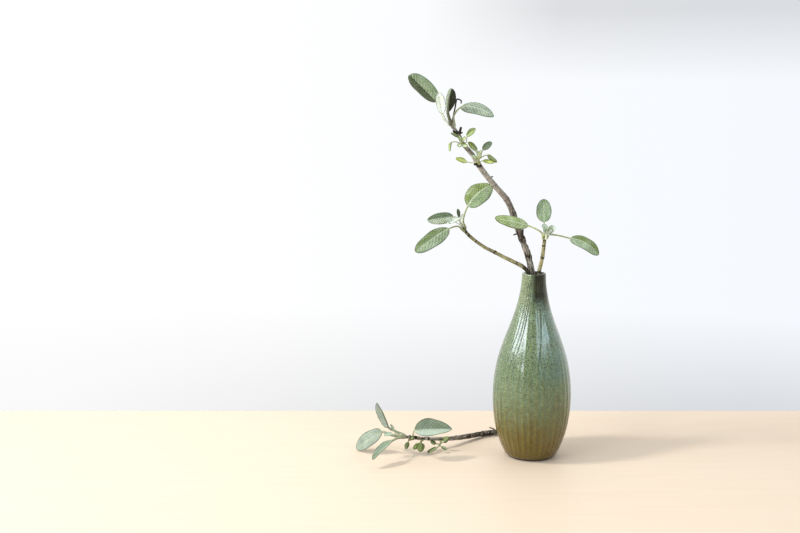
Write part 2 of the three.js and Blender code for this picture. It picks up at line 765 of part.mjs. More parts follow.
const sprigSprays = {
  sprig_spray_tip: {
    host: sprigStem,
    at: [-133.2, -2.5, 19.3],
    axis: [[-137.2, -5, 21.8], [-139.5, -7.3, 23.4]],
    radii: [0.9, 1.0, 0.7],
    leaves: [
      { from: 0.9, base: [-142.8, -10.4, 24.8], tip: [-151.2, -15.8, 24.6], face: [0.1, -0.4, 0.9], width: 5.6, fold: 24 },
      { from: 0.9, base: [-141.1, -7.7, 26.8], tip: [-145.3, -8.3, 34], face: [0.8, -0.4, 0.4], width: 4.2, fold: 26 },
    ],
  },
  sprig_spray_first: {
    host: sprigStem,
    at: [-124.2, 1.1, 17.3],
    axis: [[-125.6, -2.3, 16], [-126.1, -3.8, 15]],
    radii: [0.9, 1.0, 0.7],
    leaves: [
      { from: 0.7, base: [-126.7, -4.7, 13.8], tip: [-128.9, -10.8, 8.6], face: [-0.2, -0.6, 0.7], width: 4.6, fold: 16 },
      { from: 0.6, base: [-124, -4.1, 17.4], tip: [-120.8, -6.5, 20.6], face: [-0.3, -0.6, 0.4], width: 3.4, fold: 20 },
    ],
  },
  sprig_spray_middle: {
    host: sprigStem,
    at: [-112.3, 5.9, 14.9],
    axis: [[-112.7, 2, 13.6], [-113.1, 0.3, 12.3]],
    radii: [0.9, 1.0, 0.7],
    leaves: [
      { from: 0.7, base: [-112.7, -0.6, 11.5], tip: [-114.6, -9.4, 5.1], face: [0.1, -0.35, 0.93], width: 7.4, fold: 12 },
      { from: 0.6, base: [-115.3, -0.2, 11.3], tip: [-120.8, -5.7, 6.4], face: [-0.2, -0.4, 0.9], width: 5.4, fold: 12 },
    ],
  },
  sprig_spray_last: {
    host: sprigStem,
    at: [-93.4, 14.7, 11.1],
    axis: [[-92.8, 9.9, 7.8], [-94.5, 6.3, 6.2]],
    radii: [1.0, 1.0, 0.8],
    leaves: [
      { from: 0.4, base: [-89.8, 8.8, 9.6], tip: [-84, 6.9, 15.4], face: [-0.5, -0.75, 0.45], width: 5.6, fold: 10 },
      { from: 0.95, base: [-97, 4.5, 5], tip: [-106.5, -3.7, 2.3], face: [0.1, -0.2, 0.97], width: 4.6, fold: 14 },
      { from: 0.6, base: [-97.9, 7.7, 8.2], tip: [-103.6, 3.6, 12.2], face: [0.2, -0.8, 0.5], width: 4.2, fold: 16 },
      { from: 0.8, base: [-91.7, 4.9, 6], tip: [-86.8, 0.3, 3.8], face: [0.1, -0.3, 0.94], width: 4.2, fold: 14 },
    ],
  },
};

// The scene

const arrangement = new THREE.Group();
arrangement.add(piece("vase", makeVase(), colours.glaze, 0.2));
arrangement.add(piece("water", makeWater(mainBranch), colours.water, 0.05));
arrangement.add(piece("main_branch", fuse(mainBranch.parts), colours.bark));
arrangement.add(piece("left_shoot", fuse(leftShoot.parts), colours.greenwood));
arrangement.add(piece("right_shoot", fuse(rightShoot.parts), colours.greenwood));
arrangement.add(piece("sprig_stem", fuse(sprigStem.parts), colours.sprigWood));

const paleLeaves = ["top_leaf_pale"];
for (const [host, leaves] of [
  [mainBranch, branchLeaves],
  [leftShoot, leftLeaves],
  [rightShoot, rightLeaves],
  [sprigStem, sprigLeaves],
]) {
  for (const [name, leaf] of Object.entries(leaves)) {
    const colour = paleLeaves.includes(name) ? colours.paleLeaf : colours.leaf;
    arrangement.add(piece(name, leafOn(host, leaf), colour));
  }
}
for (const [name, spray] of Object.entries({ ...branchSprays, ...sprigSprays })) {
  const pale = name === "right_spray_tip" || name === "sprig_spray_tip";
  arrangement.add(piece(name, sprayOn(spray.host, spray), pale ? colours.paleLeaf : colours.youngLeaf));
}

export default arrangement;
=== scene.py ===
"""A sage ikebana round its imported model: a forked sage branch in a glazed, fluted bottle vase, and a cut
sage sprig on the table behind it. Metres, +Z up. The origin is the centre of the vase's foot and -Y is the
front. Shapes are worked out in millimetres and placed in metres."""

import math

import bpy
import numpy as np
from bpy.props import FloatProperty, FloatVectorProperty, IntProperty, PointerProperty
from bpy.types import Operator, Panel, PropertyGroup
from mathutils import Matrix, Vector


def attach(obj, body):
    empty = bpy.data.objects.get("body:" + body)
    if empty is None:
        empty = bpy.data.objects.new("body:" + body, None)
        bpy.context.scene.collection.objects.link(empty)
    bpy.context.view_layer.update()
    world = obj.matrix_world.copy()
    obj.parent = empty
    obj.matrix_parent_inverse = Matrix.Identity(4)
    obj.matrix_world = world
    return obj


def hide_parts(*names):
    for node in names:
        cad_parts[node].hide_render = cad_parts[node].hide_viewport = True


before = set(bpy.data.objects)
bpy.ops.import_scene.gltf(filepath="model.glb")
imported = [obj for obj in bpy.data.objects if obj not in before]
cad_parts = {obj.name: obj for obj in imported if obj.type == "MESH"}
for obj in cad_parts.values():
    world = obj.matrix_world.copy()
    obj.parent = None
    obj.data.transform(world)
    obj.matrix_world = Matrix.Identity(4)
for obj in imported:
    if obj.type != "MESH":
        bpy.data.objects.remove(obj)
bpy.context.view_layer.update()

bl_info = {
    "name": "Sage Ikebana",
    "version": (1, 0, 0),
    "blender": (4, 5, 0),
    "location": "3D View > Sidebar > Ikebana",
    "description": "A forked sage branch in a fluted, glazed vase, with a cut sprig on the table",
    "category": "Add Mesh",
}

MM = 0.001
TURN = 2 * math.pi
GAP = 0.3  # a stalk stops this far short of the bark, in millimetres


def colour(red, green, blue):
    """A screen colour, 0 to 255 a channel, as linear light with full alpha."""
    share = np.array([red, green, blue]) / 255
    linear = np.where(share <= 0.04045, share / 12.92, ((share + 0.055) / 1.055) ** 2.4)
    return (*[float(c) for c in linear], 1.0)


def colour_property(name, description, red, green, blue):
    """A colour that a user can change, its default given as a screen colour."""
    return FloatVectorProperty(
        name=name,
        description=description,
        default=colour(red, green, blue),
        size=4,
        subtype="COLOR",
        min=0,
        max=1,
    )


# Settings

class VaseSettings(PropertyGroup):
    height: FloatProperty(name="Height", description="Foot to lip", default=0.190, unit="LENGTH")
    mouth_radius: FloatProperty(
        name="Mouth Radius", description="Outside of the lip", default=0.0121, unit="LENGTH"
    )
    throat_radius: FloatProperty(
        name="Throat Radius", description="Inside of the neck below the lip", default=0.0084, unit="LENGTH"
    )
    floor: FloatProperty(name="Floor", description="Thickness of the floor", default=0.005, unit="LENGTH")
    flutes: IntProperty(name="Flutes", description="Carved hollows round the vase", default=36)
    flute_depth: FloatProperty(
        name="Flute Depth", description="Depth of a flute at the belly", default=0.00048, unit="LENGTH"
    )
    green: colour_property("Celadon Green", "Glaze on the body", 112, 134, 96)
    # Blue: bluer glaze in random clouds, and a painted reflection of the cool window on the right.
    blue: colour_property("Celadon Blue", "Glaze where it lies thick on the right", 110, 148, 136)
    ochre: colour_property("Ochre", "Glaze thinned towards the foot", 110, 89, 0)
    # Dark olive: real dark specks, and the colour of the painted shade on the right of the neck, in the
    # shoulder grooves and towards the bottom.
    olive: colour_property("Dark Olive", "Glaze that has run dark at the neck", 22, 24, 4)
    ridge: colour_property("Ridge", "Glaze worn thin over the ridges", 156, 146, 50)
    bloom: colour_property("Bloom", "Milky specks in the glaze", 160, 178, 154)
    clay: colour_property("Bare Clay", "Unglazed clay under the foot", 52, 40, 26)
    water: colour_property("Water", "Tint of the water", 222, 236, 232)


class LeafSettings(PropertyGroup):
    thickness: FloatProperty(
        name="Blade Thickness", description="Thickness of a blade", default=0.00055, unit="LENGTH"
    )
    pucker: FloatProperty(
        name="Pucker", description="Swell between the side veins", default=0.00042, unit="LENGTH"
    )
    net: FloatProperty(name="Net", description="Height of the fine net", default=0.00006, unit="LENGTH")
    upper: colour_property("Upper Side", "Grey-green of a full leaf", 128, 154, 106)
    # Grooves: the colour of painted shade in the grooves, side veins and fine net of a blade's upper side.
    deep: colour_property("Grooves", "Green in the grooves of the net", 44, 62, 32)
    vein: colour_property("Veins", "Pale felt in the veins", 205, 218, 190)
    under: colour_property("Under Side", "Pale felt below", 186, 200, 172)
    young: colour_property("Young Leaf", "Yellow-green of a young leaf", 170, 182, 62)
    wool: colour_property("Wool", "Near-white wool on the youngest leaves", 226, 235, 226)
    stalk: colour_property("Stalk", "Leaf stalks", 166, 172, 118)


class WoodSettings(PropertyGroup):
    relief: FloatProperty(
        name="Bark Relief", description="Height of the ridges in the bark", default=0.00045, unit="LENGTH"
    )
    grey: colour_property("Grey Bark", "Weathered bark", 184, 178, 164)
    brown: colour_property("Brown Bark", "Bark in the furrows", 64, 57, 51)
    red: colour_property("Red Bark", "Smooth bark past the bend", 126, 104, 95)
    scar: colour_property("Scars", "Rings where leaves have grown", 30, 23, 18)
    olive: colour_property("Olive Shoot", "Young bark of the side shoots", 88, 82, 54)
    tan: colour_property("Tan Shoot", "Dry young bark", 178, 171, 126)
    dark: colour_property("Dark Sprig", "Flaking bark of the laid sprig", 56, 44, 34)


class StageSettings(PropertyGroup):
    table: colour_property("Table", "Plain pale table top", 220, 202, 181)
    grain: colour_property("Table Grain", "Faint grain in the table top", 190, 160, 120)
    wall: colour_property("Wall", "Pale wall behind", 255, 255, 255)
    cool_wall: colour_property("Cool Wall", "The wall towards the right", 246, 249, 254)
    key: FloatProperty(
        name="High Window", description="Power of the high light on the left", default=10.0, min=0
    )
    window: FloatProperty(
        name="Window", description="Power of the wide window on the left", default=78.0, min=0
    )
    low_share: FloatProperty(
        name="Low Window",
        description="Power of the low window, as a share of the wide one's",
        default=1 / 13,
        min=0,
        max=1,
        subtype="FACTOR",
    )
    sky: FloatProperty(name="Sky Window", description="Power of the cool window", default=10.5, min=0)


# Smooth lines through points

def curve_piece(start, end, out, into, share):
    """A smooth piece from start to end, which leaves along out and arrives along into."""
    return (
        start
        + out * share
        + (3 * (end - start) - 2 * out - into) * share**2
        + (2 * (start - end) + out + into) * share**3
    )


class Line:
    """A smooth line through points, read by the share of its length."""

    def __init__(self, points):
        points = np.array(points, float)
        reach = np.vstack([2 * points[0] - points[1], points, 2 * points[-1] - points[-2]])
        pieces = []
        share = np.linspace(0, 1, 80, endpoint=False)[:, None]
        for i in range(1, len(reach) - 2):
            a, b, c, d = reach[i - 1 : i + 3]
            ab, bc, cd = (np.linalg.norm(q - p) ** 0.5 for p, q in ((a, b), (b, c), (c, d)))
            out = bc * ((b - a) / ab - (c - a) / (ab + bc) + (c - b) / bc)
            into = bc * ((c - b) / bc - (d - b) / (bc + cd) + (d - c) / cd)
            pieces.append(curve_piece(b, c, out, into, share))
        self.dense = np.vstack([*pieces, points[-1:]])
        steps = np.linalg.norm(np.diff(self.dense, axis=0), axis=1)
        self.run = np.concatenate([[0], np.cumsum(steps)])
        self.length = self.run[-1]

    def at(self, share):
        """The place at a share of the length."""
        run = np.asarray(share) * self.length
        return np.stack([np.interp(run, self.run, self.dense[:, k]) for k in range(3)], axis=-1)

    def heading(self, share):
        """The way that the line runs at a share of the length."""
        share = np.asarray(share)
        step = self.at(np.clip(share + 0.002, 0, 1)) - self.at(np.clip(share - 0.002, 0, 1))
        return step / np.linalg.norm(step, axis=-1, keepdims=True)

    def nearest(self, place):
        """The share of the length that comes nearest to a place."""
        index = np.linalg.norm(self.dense - np.array(place, float), axis=1).argmin()
        return self.run[index] / self.length

    def frames(self, shares):
        """Side and up directions at each share, carried along the line with no twist."""
        headings = self.heading(shares)
        side = np.cross([0.31, 0.95, 0.11], headings[0])
        sides = []
        for heading in headings:
            side = side - heading * side.dot(heading)
            side = side / np.linalg.norm(side)
            sides.append(side)
        return np.array(sides), np.cross(headings, sides)


def unit(vector):
    vector = np.array(vector, float)
    return vector / np.linalg.norm(vector)


def list_value(values, share):
    """A value read off a list that is spread evenly from share 0 to share 1."""
    return np.interp(share, np.linspace(0, 1, len(values)), values)


def smooth(value, low, high):
    """0 up to low, 1 from high on, and a soft rise between."""
    share = np.clip((np.asarray(value, float) - low) / (high - low), 0, 1)
    return share * share * (3 - 2 * share)


# Mesh tools

def deselect_all():
    if bpy.context.object and bpy.context.object.mode != "OBJECT":
        bpy.ops.object.mode_set(mode="OBJECT")
    bpy.ops.object.select_all(action="DESELECT")


def take(piece):
    """Makes a piece the only selected object and the active one."""
    deselect_all()
    piece.select_set(True)
    bpy.context.view_layer.objects.active = piece


def new_grid(name, along, across):
    """A flat grid whose X runs along and Y across, both from 0 to 1, with its points as two arrays."""
    deselect_all()
    bpy.ops.mesh.primitive_grid_add(x_subdivisions=along, y_subdivisions=across, size=1)
    grid = bpy.context.object
    grid.name = name
    grid.data.name = name
    flat = read_points(grid)
    return grid, flat[:, 0] + 0.5, flat[:, 1] + 0.5


def read_points(piece):
    """A piece's points, in metres."""
    flat = np.empty(len(piece.data.vertices) * 3)
    piece.data.vertices.foreach_get("co", flat)
    return flat.reshape(-1, 3)


def place_points(piece, points):
    """Moves a piece's points to places given in millimetres."""
    piece.data.vertices.foreach_set("co", (np.asarray(points) * MM).ravel())
    piece.data.update()


def paint(piece, name, values):
    """Keeps a number at each point, or a vector where three are given, for the materials to read."""
    values = np.asarray(values, np.float32)
    kind, key = ("FLOAT_VECTOR", "vector") if values.ndim == 2 else ("FLOAT", "value")
    layer = piece.data.attributes.get(name) or piece.data.attributes.new(name, kind, "POINT")
    layer.data.foreach_set(key, values.ravel())


def tidy_mesh(piece, merge=1e-6):
    """Closes seams and poles, turns the faces outwards and shades the piece smooth."""
    take(piece)
    bpy.ops.object.mode_set(mode="EDIT")
    bpy.ops.mesh.select_all(action="SELECT")
    bpy.ops.mesh.remove_doubles(threshold=merge)
    bpy.ops.mesh.normals_make_consistent(inside=False)
    bpy.ops.object.mode_set(mode="OBJECT")
    bpy.ops.object.shade_smooth()


def join(pieces, name):
    """Joins pieces into one with this name."""
    take(pieces[0])
    for piece in pieces:
        piece.select_set(True)
    if len(pieces) > 1:
        bpy.ops.object.join()
    joined = bpy.context.object
    joined.name = name
    joined.data.name = name
    return joined


def hand_over(piece, node):
    """The piece rides on the part and stands for its solid."""
    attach(piece, "root")
    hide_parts(node)


DOME = [0.0, 0.75, 1.0]  # how wide a rod's end rings are, from its very end inwards
DOME_RISE = 0.35  # how far an end stands out, as a share of the rod's radius


def make_tube(name, line, radius, stations, sides, wobble=None):
    """A closed round rod along a line, its ends domed, with its radius given at each share of its length;
    wobble(share, angle, outward) swells or sinks the skin. Gives the rod and each point's share, angle and
    outward direction."""
    end_rings = len(DOME) - 1
    rings = stations + 2 * end_rings
    rod, along, round_share = new_grid(name, rings, sides)
    station = np.rint(along * rings).astype(int)
    share = np.clip((station - end_rings) / stations, 0, 1)
    dome = np.choose(np.clip(np.minimum(station, rings - station), 0, end_rings), DOME)
    angle = -TURN * round_share
    side, up = line.frames(np.clip((np.arange(rings + 1) - end_rings) / stations, 0, 1))
    outward = side[station] * np.cos(angle)[:, None] + up[station] * np.sin(angle)[:, None]
    reach = radius(share)
    if wobble:
        reach = reach + wobble(share, angle, outward)
    push = np.sign(station - rings / 2) * (1 - dome) * radius(share) * DOME_RISE
    points = line.at(share) + line.heading(share) * push[:, None] + outward * (dome * reach)[:, None]
    place_points(rod, points)
    return rod, share, angle, outward


# Materials

class Nodes:
    """Adds shader nodes to a material or world, each input given as a number, a colour or a node's output."""

    def __init__(self, owner):
        owner.use_nodes = True
        self.owner = owner
        self.tree = owner.node_tree

    def add(self, kind, inputs=None, output=0, **settings):
        """Adds a node, sets its settings and inputs, and gives one of its outputs."""
        node = self.tree.nodes.new(kind)
        for key, value in settings.items():
            setattr(node, key, value)
        for key, value in (inputs or {}).items():
            self.give(node.inputs[key], value)
        return node.outputs[output]

    def give(self, socket, value):
        if isinstance(value, bpy.types.NodeSocket):
            self.tree.links.new(value, socket)
        else:
            socket.default_value = value

    def surface(self, **inputs):
        """Sets the inputs of the material's own shader."""
        shader = self.tree.nodes["Principled BSDF"]
        for key, value in inputs.items():
            self.give(shader.inputs[key.replace("_", " ")], value)

    def painted(self, name, output="Fac"):
        """A value that was painted on the piece's points."""
        return self.add("ShaderNodeAttribute", output=output, attribute_name=name)

    def place(self, scale=(1, 1, 1)):
        """The place on the object, in metres."""
        coordinates = self.add("ShaderNodeTexCoord", output="Object")
        return self.add("ShaderNodeMapping", {"Vector": coordinates, "Scale": scale})

    def split(self, vector):
        """The X, Y and Z of a vector."""
        node = self.tree.nodes.new("ShaderNodeSeparateXYZ")
        self.give(node.inputs[0], vector)
        return tuple(node.outputs)

    def noise(self, vector, scale, detail=3.0, roughness=0.55):
        inputs = {"Vector": vector, "Scale": scale, "Detail": detail, "Roughness": roughness}
        return self.add("ShaderNodeTexNoise", inputs)

    def cell_edge(self, vector, scale):
        """How far a place is from the edge of its cell."""
        inputs = {"Vector": vector, "Scale": scale}
        return self.add("ShaderNodeTexVoronoi", inputs, feature="DISTANCE_TO_EDGE")

    def math(self, operation, a, b=0.0):
        return self.add("ShaderNodeMath", {0: a, 1: b}, operation=operation)

    def sum(self, a, b):
        return self.math("ADD", a, b)

    def times(self, a, b):
        return self.math("MULTIPLY", a, b)

    def larger(self, a, b):
        return self.math("MAXIMUM", a, b)

    def rest(self, share):
        """What a share leaves of one."""
        return self.math("SUBTRACT", 1.0, share)

    def spread(self, value, low, high, to_low=0.0, to_high=1.0):
        """Turns low to high into to_low to to_high, and holds it there at both ends."""
        inputs = {"Value": value, "From Min": low, "From Max": high, "To Min": to_low, "To Max": to_high}
        return self.add("ShaderNodeMapRange", inputs)

    def mix(self, share, first, second, blend="MIX"):
        """The first colour, with a share of the second."""
        inputs = {0: share, 6: first, 7: second}
        return self.add("ShaderNodeMix", inputs, output=2, data_type="RGBA", blend_type=blend)

    def warp(self, vector, scale, reach):
        """The same places, pushed about by a soft noise."""
        push = self.add("ShaderNodeTexNoise", {"Vector": vector, "Scale": scale}, output=1)
        inputs = {0: push, 1: (reach, reach, reach), 2: vector}
        return self.add("ShaderNodeVectorMath", inputs, operation="MULTIPLY_ADD")

    def bump(self, height, distance, strength):
        return self.add("ShaderNodeBump", {"Height": height, "Distance": distance, "Strength": strength})


# The vase

# Outside of the vase as radius and height, from the foot to the lip.
VASE_OUTLINE = [
    (27.2, 3.6),
    (31.5, 13),
    (36.2, 28),
    (38.9, 45),
    (39.8, 64),
    (38.7, 82),
    (35.2, 102),
    (28.9, 122),
    (21.4, 142),
    (15.8, 161),
    (13.0, 177),
]
# Inside of the vase, from the floor to the throat.
CAVITY_OUTLINE = [
    (22.8, 4),
    (26.4, 13),
    (31.0, 28),
    (34.1, 45),
    (35.3, 64),
    (34.3, 82),
    (30.8, 102),
    (24.6, 122),
    (17.1, 142),
    (11.6, 161),
    (8.9, 177),
]
BELLY_RADIUS = max(radius for radius, _ in VASE_OUTLINE)
# The rounded foot with its turned ring, and the floor inside, as radius and height.
FOOT_SECTION = [
    (0, 0.7),
    (19.5, 0.7),
    (20.6, 0.1),
    (21.4, 0),
    (23.2, 0),
    (24.0, 0.35),
    (24.4, 1.2),
    (25.1, 1.8),
    (26.1, 2.6),
]
FLOOR_SECTION = [(20.5, 8), (19, 6), (16, 5.1)]
LIP_DEPTH = 1.2  # the outlines end this far below the lip's top
WALL_STEP = 1.9  # height between two rings of the outside
INSIDE_RINGS = 26
SPIN_STEPS = 432
# Narrow grooves down the shoulder, carved and painted with shade: their azimuths at one height, how far
# they turn for each millimetre up, and their half width.
GROOVE_AZIMUTHS = [231.5, 241.0, 247.7, 289.0]
GROOVE_HEIGHT = 158
GROOVE_TURN = 0.27
GROOVE_HALF_WIDTH = 0.55
GROOVE_DEPTH = 0.7  # as a share of a flute's depth
SKIN = 0.12  # the glazed face lies this far inside the solid's


def vase_radius(height, vase):
    """Radius of the smooth outside at a height."""
    lip = (vase.mouth_radius / MM, vase.height / MM - LIP_DEPTH)
    return outline_radius([*VASE_OUTLINE, lip], height)


def cavity_radius(height, vase):
    """Radius of the inside at a height."""
    throat = (vase.throat_radius / MM, vase.height / MM - LIP_DEPTH)
    return outline_radius([*CAVITY_OUTLINE, throat], height)


def outline_radius(outline, height):
    """Radius at a height, on a smooth line through an outline."""
    outline = np.array(outline, float)
    reach = np.vstack([outline[0], outline, outline[-1]])
    share = np.linspace(0, 1, 24, endpoint=False)[:, None]
    pieces = []
    for a, b, c, d in zip(reach, reach[1:], reach[2:], reach[3:]):
        pieces.append(curve_piece(b, c, (c - a) / 2, (d - b) / 2, share))
    dense = np.vstack([*pieces, outline[-1:]])
    return np.interp(height, dense[:, 1], dense[:, 0])


def flute_hollow(angle, height, vase):
    """How far a point lies in a carved hollow, from 0 on a ridge to about 1. No two flutes are alike."""
    across = angle * vase.flutes / TURN
    number = np.floor(across)
    wander = 0.05 * np.sin(number * 2.4 + height / 31) + 0.03 * np.sin(number * 5.1 + height / 12)
    hollow = (0.5 - 0.5 * np.cos(TURN * (across + wander))) ** 0.72
    return hollow * (0.88 + 0.14 * np.sin(number * 3.7 + 1.3))


def vase_section(vase):
    """The section that is turned: up the outside from the foot's middle, over the lip and down inside."""
    height, lip, throat = vase.height / MM, vase.mouth_radius / MM, vase.throat_radius / MM
    outside = [(vase_radius(z, vase), z) for z in np.arange(3.6, height - 2, WALL_STEP)]
    mouth = [
        (lip, height - 1.4),
        (lip - 0.12, height - 0.7),
        (lip - 0.5, height - 0.2),
        (lip - 1.1, height),
        (lip - 1.7, height - 0.25),
        (lip - 2.2, height - 0.9),
        (throat + 0.5, height - 2.2),
        (throat, height - 4),
    ]
    inside = [(cavity_radius(z, vase), z) for z in np.linspace(height - 9, 12, INSIDE_RINGS)]
    return [*FOOT_SECTION, *outside, *mouth, *inside, *FLOOR_SECTION, (0, vase.floor / MM)]


def turn_body(name, section):
    """A round body, turned about Z from a section of radius and height."""
    deselect_all()
    widest = max(radius for radius, _ in section)
    bpy.ops.mesh.primitive_circle_add(vertices=len(section), radius=widest * MM)
    body = bpy.context.object
    body.name = body.data.name = name
    bpy.ops.object.mode_set(mode="EDIT")
    bpy.ops.mesh.select_all(action="DESELECT")
    bpy.ops.object.mode_set(mode="OBJECT")
    for index in (0, len(section) - 1):
        body.data.vertices[index].select = True
    bpy.ops.object.mode_set(mode="EDIT")
    bpy.ops.mesh.delete(type="EDGE")
    bpy.ops.object.mode_set(mode="OBJECT")
    place_points(body, [(radius, 0, z) for radius, z in section])
    bpy.ops.object.mode_set(mode="EDIT")
    bpy.ops.mesh.select_all(action="SELECT")
    bpy.ops.mesh.spin(steps=SPIN_STEPS, angle=TURN, center=(0, 0, 0), axis=(0, 0, 1))
    bpy.ops.object.mode_set(mode="OBJECT")
    tidy_mesh(body, merge=2e-5)
    return body


def shoulder_grooves(angle, radius, height):
    """How far a point lies in one of the narrow grooves on the shoulder, from 0 to 1. The glaze paints shade
    into them.
    """
    azimuths = np.array(GROOVE_AZIMUTHS) + GROOVE_TURN * (height[:, None] - GROOVE_HEIGHT)
    away = np.radians(np.degrees(angle)[:, None] - azimuths) * radius[:, None]
    run = np.exp(-((away / GROOVE_HALF_WIDTH) ** 2)).max(axis=1)
    return run * smooth(height, 88, 118) * smooth(186 - height, 0, 6)


def carve_outside(body, vase):
    """Sinks the flutes and the narrow shoulder grooves into the outside and paints them for the glaze, which
    paints shade into the grooves.
    """
    height = vase.height / MM
    points = read_points(body) / MM
    radius = np.hypot(points[:, 0], points[:, 1])
    angle = np.arctan2(points[:, 1], points[:, 0]) % TURN
    z = points[:, 2]
    smooth_radius = vase_radius(z, vase)
    outside = (radius > smooth_radius - 1.5) & (z > 2) & (z < height - 1)
    hollow = np.where(outside, flute_hollow(angle, z, vase), 0)
    fade = smooth(z, 2, 12) * smooth(height - z, 1, 8)
    carved = np.interp(z, [55, 112, 175], [1.1, 0.42, 0.7]) * smooth_radius / BELLY_RADIUS
    run = shoulder_grooves(angle, radius, z)
    inset = vase.flute_depth / MM * (hollow * carved + GROOVE_DEPTH * run) * fade
    hand = 0.10 * np.sin(2 * angle + z / 40) + 0.06 * np.sin(3 * angle - z / 23)
    push = np.where(outside, -inset - SKIN + hand * fade, 0)
    points[:, :2] *= (1 + push / np.maximum(radius, 1))[:, None]
    place_points(body, points)
    paint(body, "ridge", np.where(outside, (1 - hollow) * fade, 0))
    # The groove share, which the glaze reads to paint shade into the grooves.
    paint(body, "run", np.where(outside, run, 0))


class IKEBANA_OT_vase(Operator):
    """Turns the bottle vase, carves its flutes and glazes it"""

    bl_idname = "ikebana.vase"
    bl_label = "Fluted Vase"

    def execute(self, context):
        vase = context.scene.ikebana_vase
        body = turn_body("fine_vase", vase_section(vase))
        carve_outside(body, vase)
        body.data.materials.append(glaze_material(vase))
        hand_over(body, "vase")
        return {"FINISHED"}


def glaze_material(vase):
    """Mottled celadon with fine dimples and specks, worn to ochre towards the foot and over the ridges, and
    bluer in random clouds. Light and shade are painted in: a reflection of the cool window makes the upper
    body bluer on the right, dark olive shade lies on the right of the neck, in the narrow grooves down the
    shoulder and towards the bottom, and a pale light lies on the left of the neck."""
    nodes = Nodes(bpy.data.materials.new("celadon_glaze"))
    place = nodes.place()
    x, _, z = nodes.split(place)
    clouds = nodes.noise(place, 38, 3, 0.6)
    mottle = nodes.noise(place, 170, 4, 0.62)
    speckle = nodes.noise(place, 760, 2, 0.5)
    olive = vase.olive

    # Painted reflection: bluer on the right of the upper body, where the cool window is reflected, and bluer
    # in random clouds.
    blue_and_reflection_share = nodes.sum(nodes.spread(x, -0.012, 0.026), nodes.spread(clouds, 0.35, 0.65, -0.4, 0.4))
    blue_and_reflection_share = nodes.times(blue_and_reflection_share, nodes.spread(z, 0.07, 0.1))
    glaze = nodes.mix(nodes.spread(blue_and_reflection_share, 0.25, 1.15), vase.green, vase.blue)
    low = nodes.sum(nodes.spread(z, 0.078, 0.016), nodes.spread(mottle, 0.35, 0.65, -0.14, 0.14))
    glaze = nodes.mix(nodes.spread(low, 0.1, 0.9), glaze, vase.ochre)

    # Painted shade: dark olive on the right of the neck and in the shoulder grooves.
    neck = nodes.times(nodes.spread(z, 0.152, 0.168), nodes.spread(x, -0.006, 0.0005))
    runs = nodes.times(nodes.painted("run"), nodes.spread(mottle, 0.35, 0.55, 0.45, 0.95))
    dark = nodes.larger(nodes.times(neck, nodes.spread(clouds, 0.3, 0.5, 0.8, 1)), runs)
    glaze = nodes.mix(dark, glaze, olive)
    # Painted light: a pale glow on the lit left side of the neck.
    painted_neck_light = nodes.times(nodes.spread(z, 0.145, 0.17), nodes.spread(x, -0.003, -0.009))
    glaze = nodes.mix(nodes.times(painted_neck_light, 0.5), glaze, nodes.mix(0.6, vase.ridge, vase.bloom))
    crest = nodes.math("POWER", nodes.painted("ridge"), 5.0)
    glaze = nodes.mix(nodes.times(crest, nodes.spread(z, 0.13, 0.03, 0.12, 0.4)), glaze, vase.ridge)

    grain = nodes.larger(nodes.spread(speckle, 0.47, 0.6), nodes.spread(mottle, 0.44, 0.7, 0, 0.6))
    grain = nodes.times(grain, nodes.spread(z, 0.03, 0.11, 0.45, 0.9))
    glaze = nodes.mix(grain, glaze, nodes.mix(0.74, glaze, olive))
    # Painted shade: the glaze darkens towards the bottom.
    glaze = nodes.mix(nodes.spread(z, 0.06, 0.12, 0.2, 0), glaze, olive)
    bloom = nodes.spread(nodes.noise(place, 620, 2, 0.5), 0.52, 0.68, 0, 0.3)
    bloom = nodes.times(bloom, nodes.times(nodes.spread(z, 0.03, 0.08, 0.1, 1), nodes.rest(dark)))
    glaze = nodes.mix(bloom, glaze, vase.bloom)
    glaze = nodes.mix(nodes.spread(z, 0.0016, 0.0026, 1, 0), glaze, vase.clay)

    dimples = nodes.sum(nodes.noise(place, 760, 1, 0.4), nodes.times(nodes.noise(place, 260, 1), 0.8))
    nodes.surface(
        Base_Color=glaze,
        Roughness=nodes.spread(mottle, 0.3, 0.7, 0.18, 0.34),
        IOR=1.52,
        Coat_Weight=nodes.times(nodes.spread(z, 0.05, 0.13, 0.15, 1), nodes.spread(dark, 0, 1, 1, 0.25)),
        Coat_Roughness=0.11,
        Normal=nodes.bump(dimples, 0.0003, 0.55),
    )
    return nodes.owner


class IKEBANA_OT_water(Operator):
    """Makes the water in the vase clear"""

    bl_idname = "ikebana.water"
    bl_label = "Water"

    def execute(self, context):
        nodes = Nodes(bpy.data.materials.new("still_water"))
        ripples = nodes.noise(nodes.place(), 60, 1)
        nodes.surface(
            Base_Color=context.scene.ikebana_vase.water,
            Roughness=nodes.spread(ripples, 0, 1, 0.02, 0.05),
            IOR=1.33,
            Transmission_Weight=1.0,
            Normal=nodes.bump(ripples, 0.0001, 0.2),
        )
        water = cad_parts["water"]
        for slot in water.material_slots:
            slot.material = nodes.owner
        return {"FINISHED"}


# Woody stems

FAR = 99.0  # further than any ring or mark reaches, in millimetres


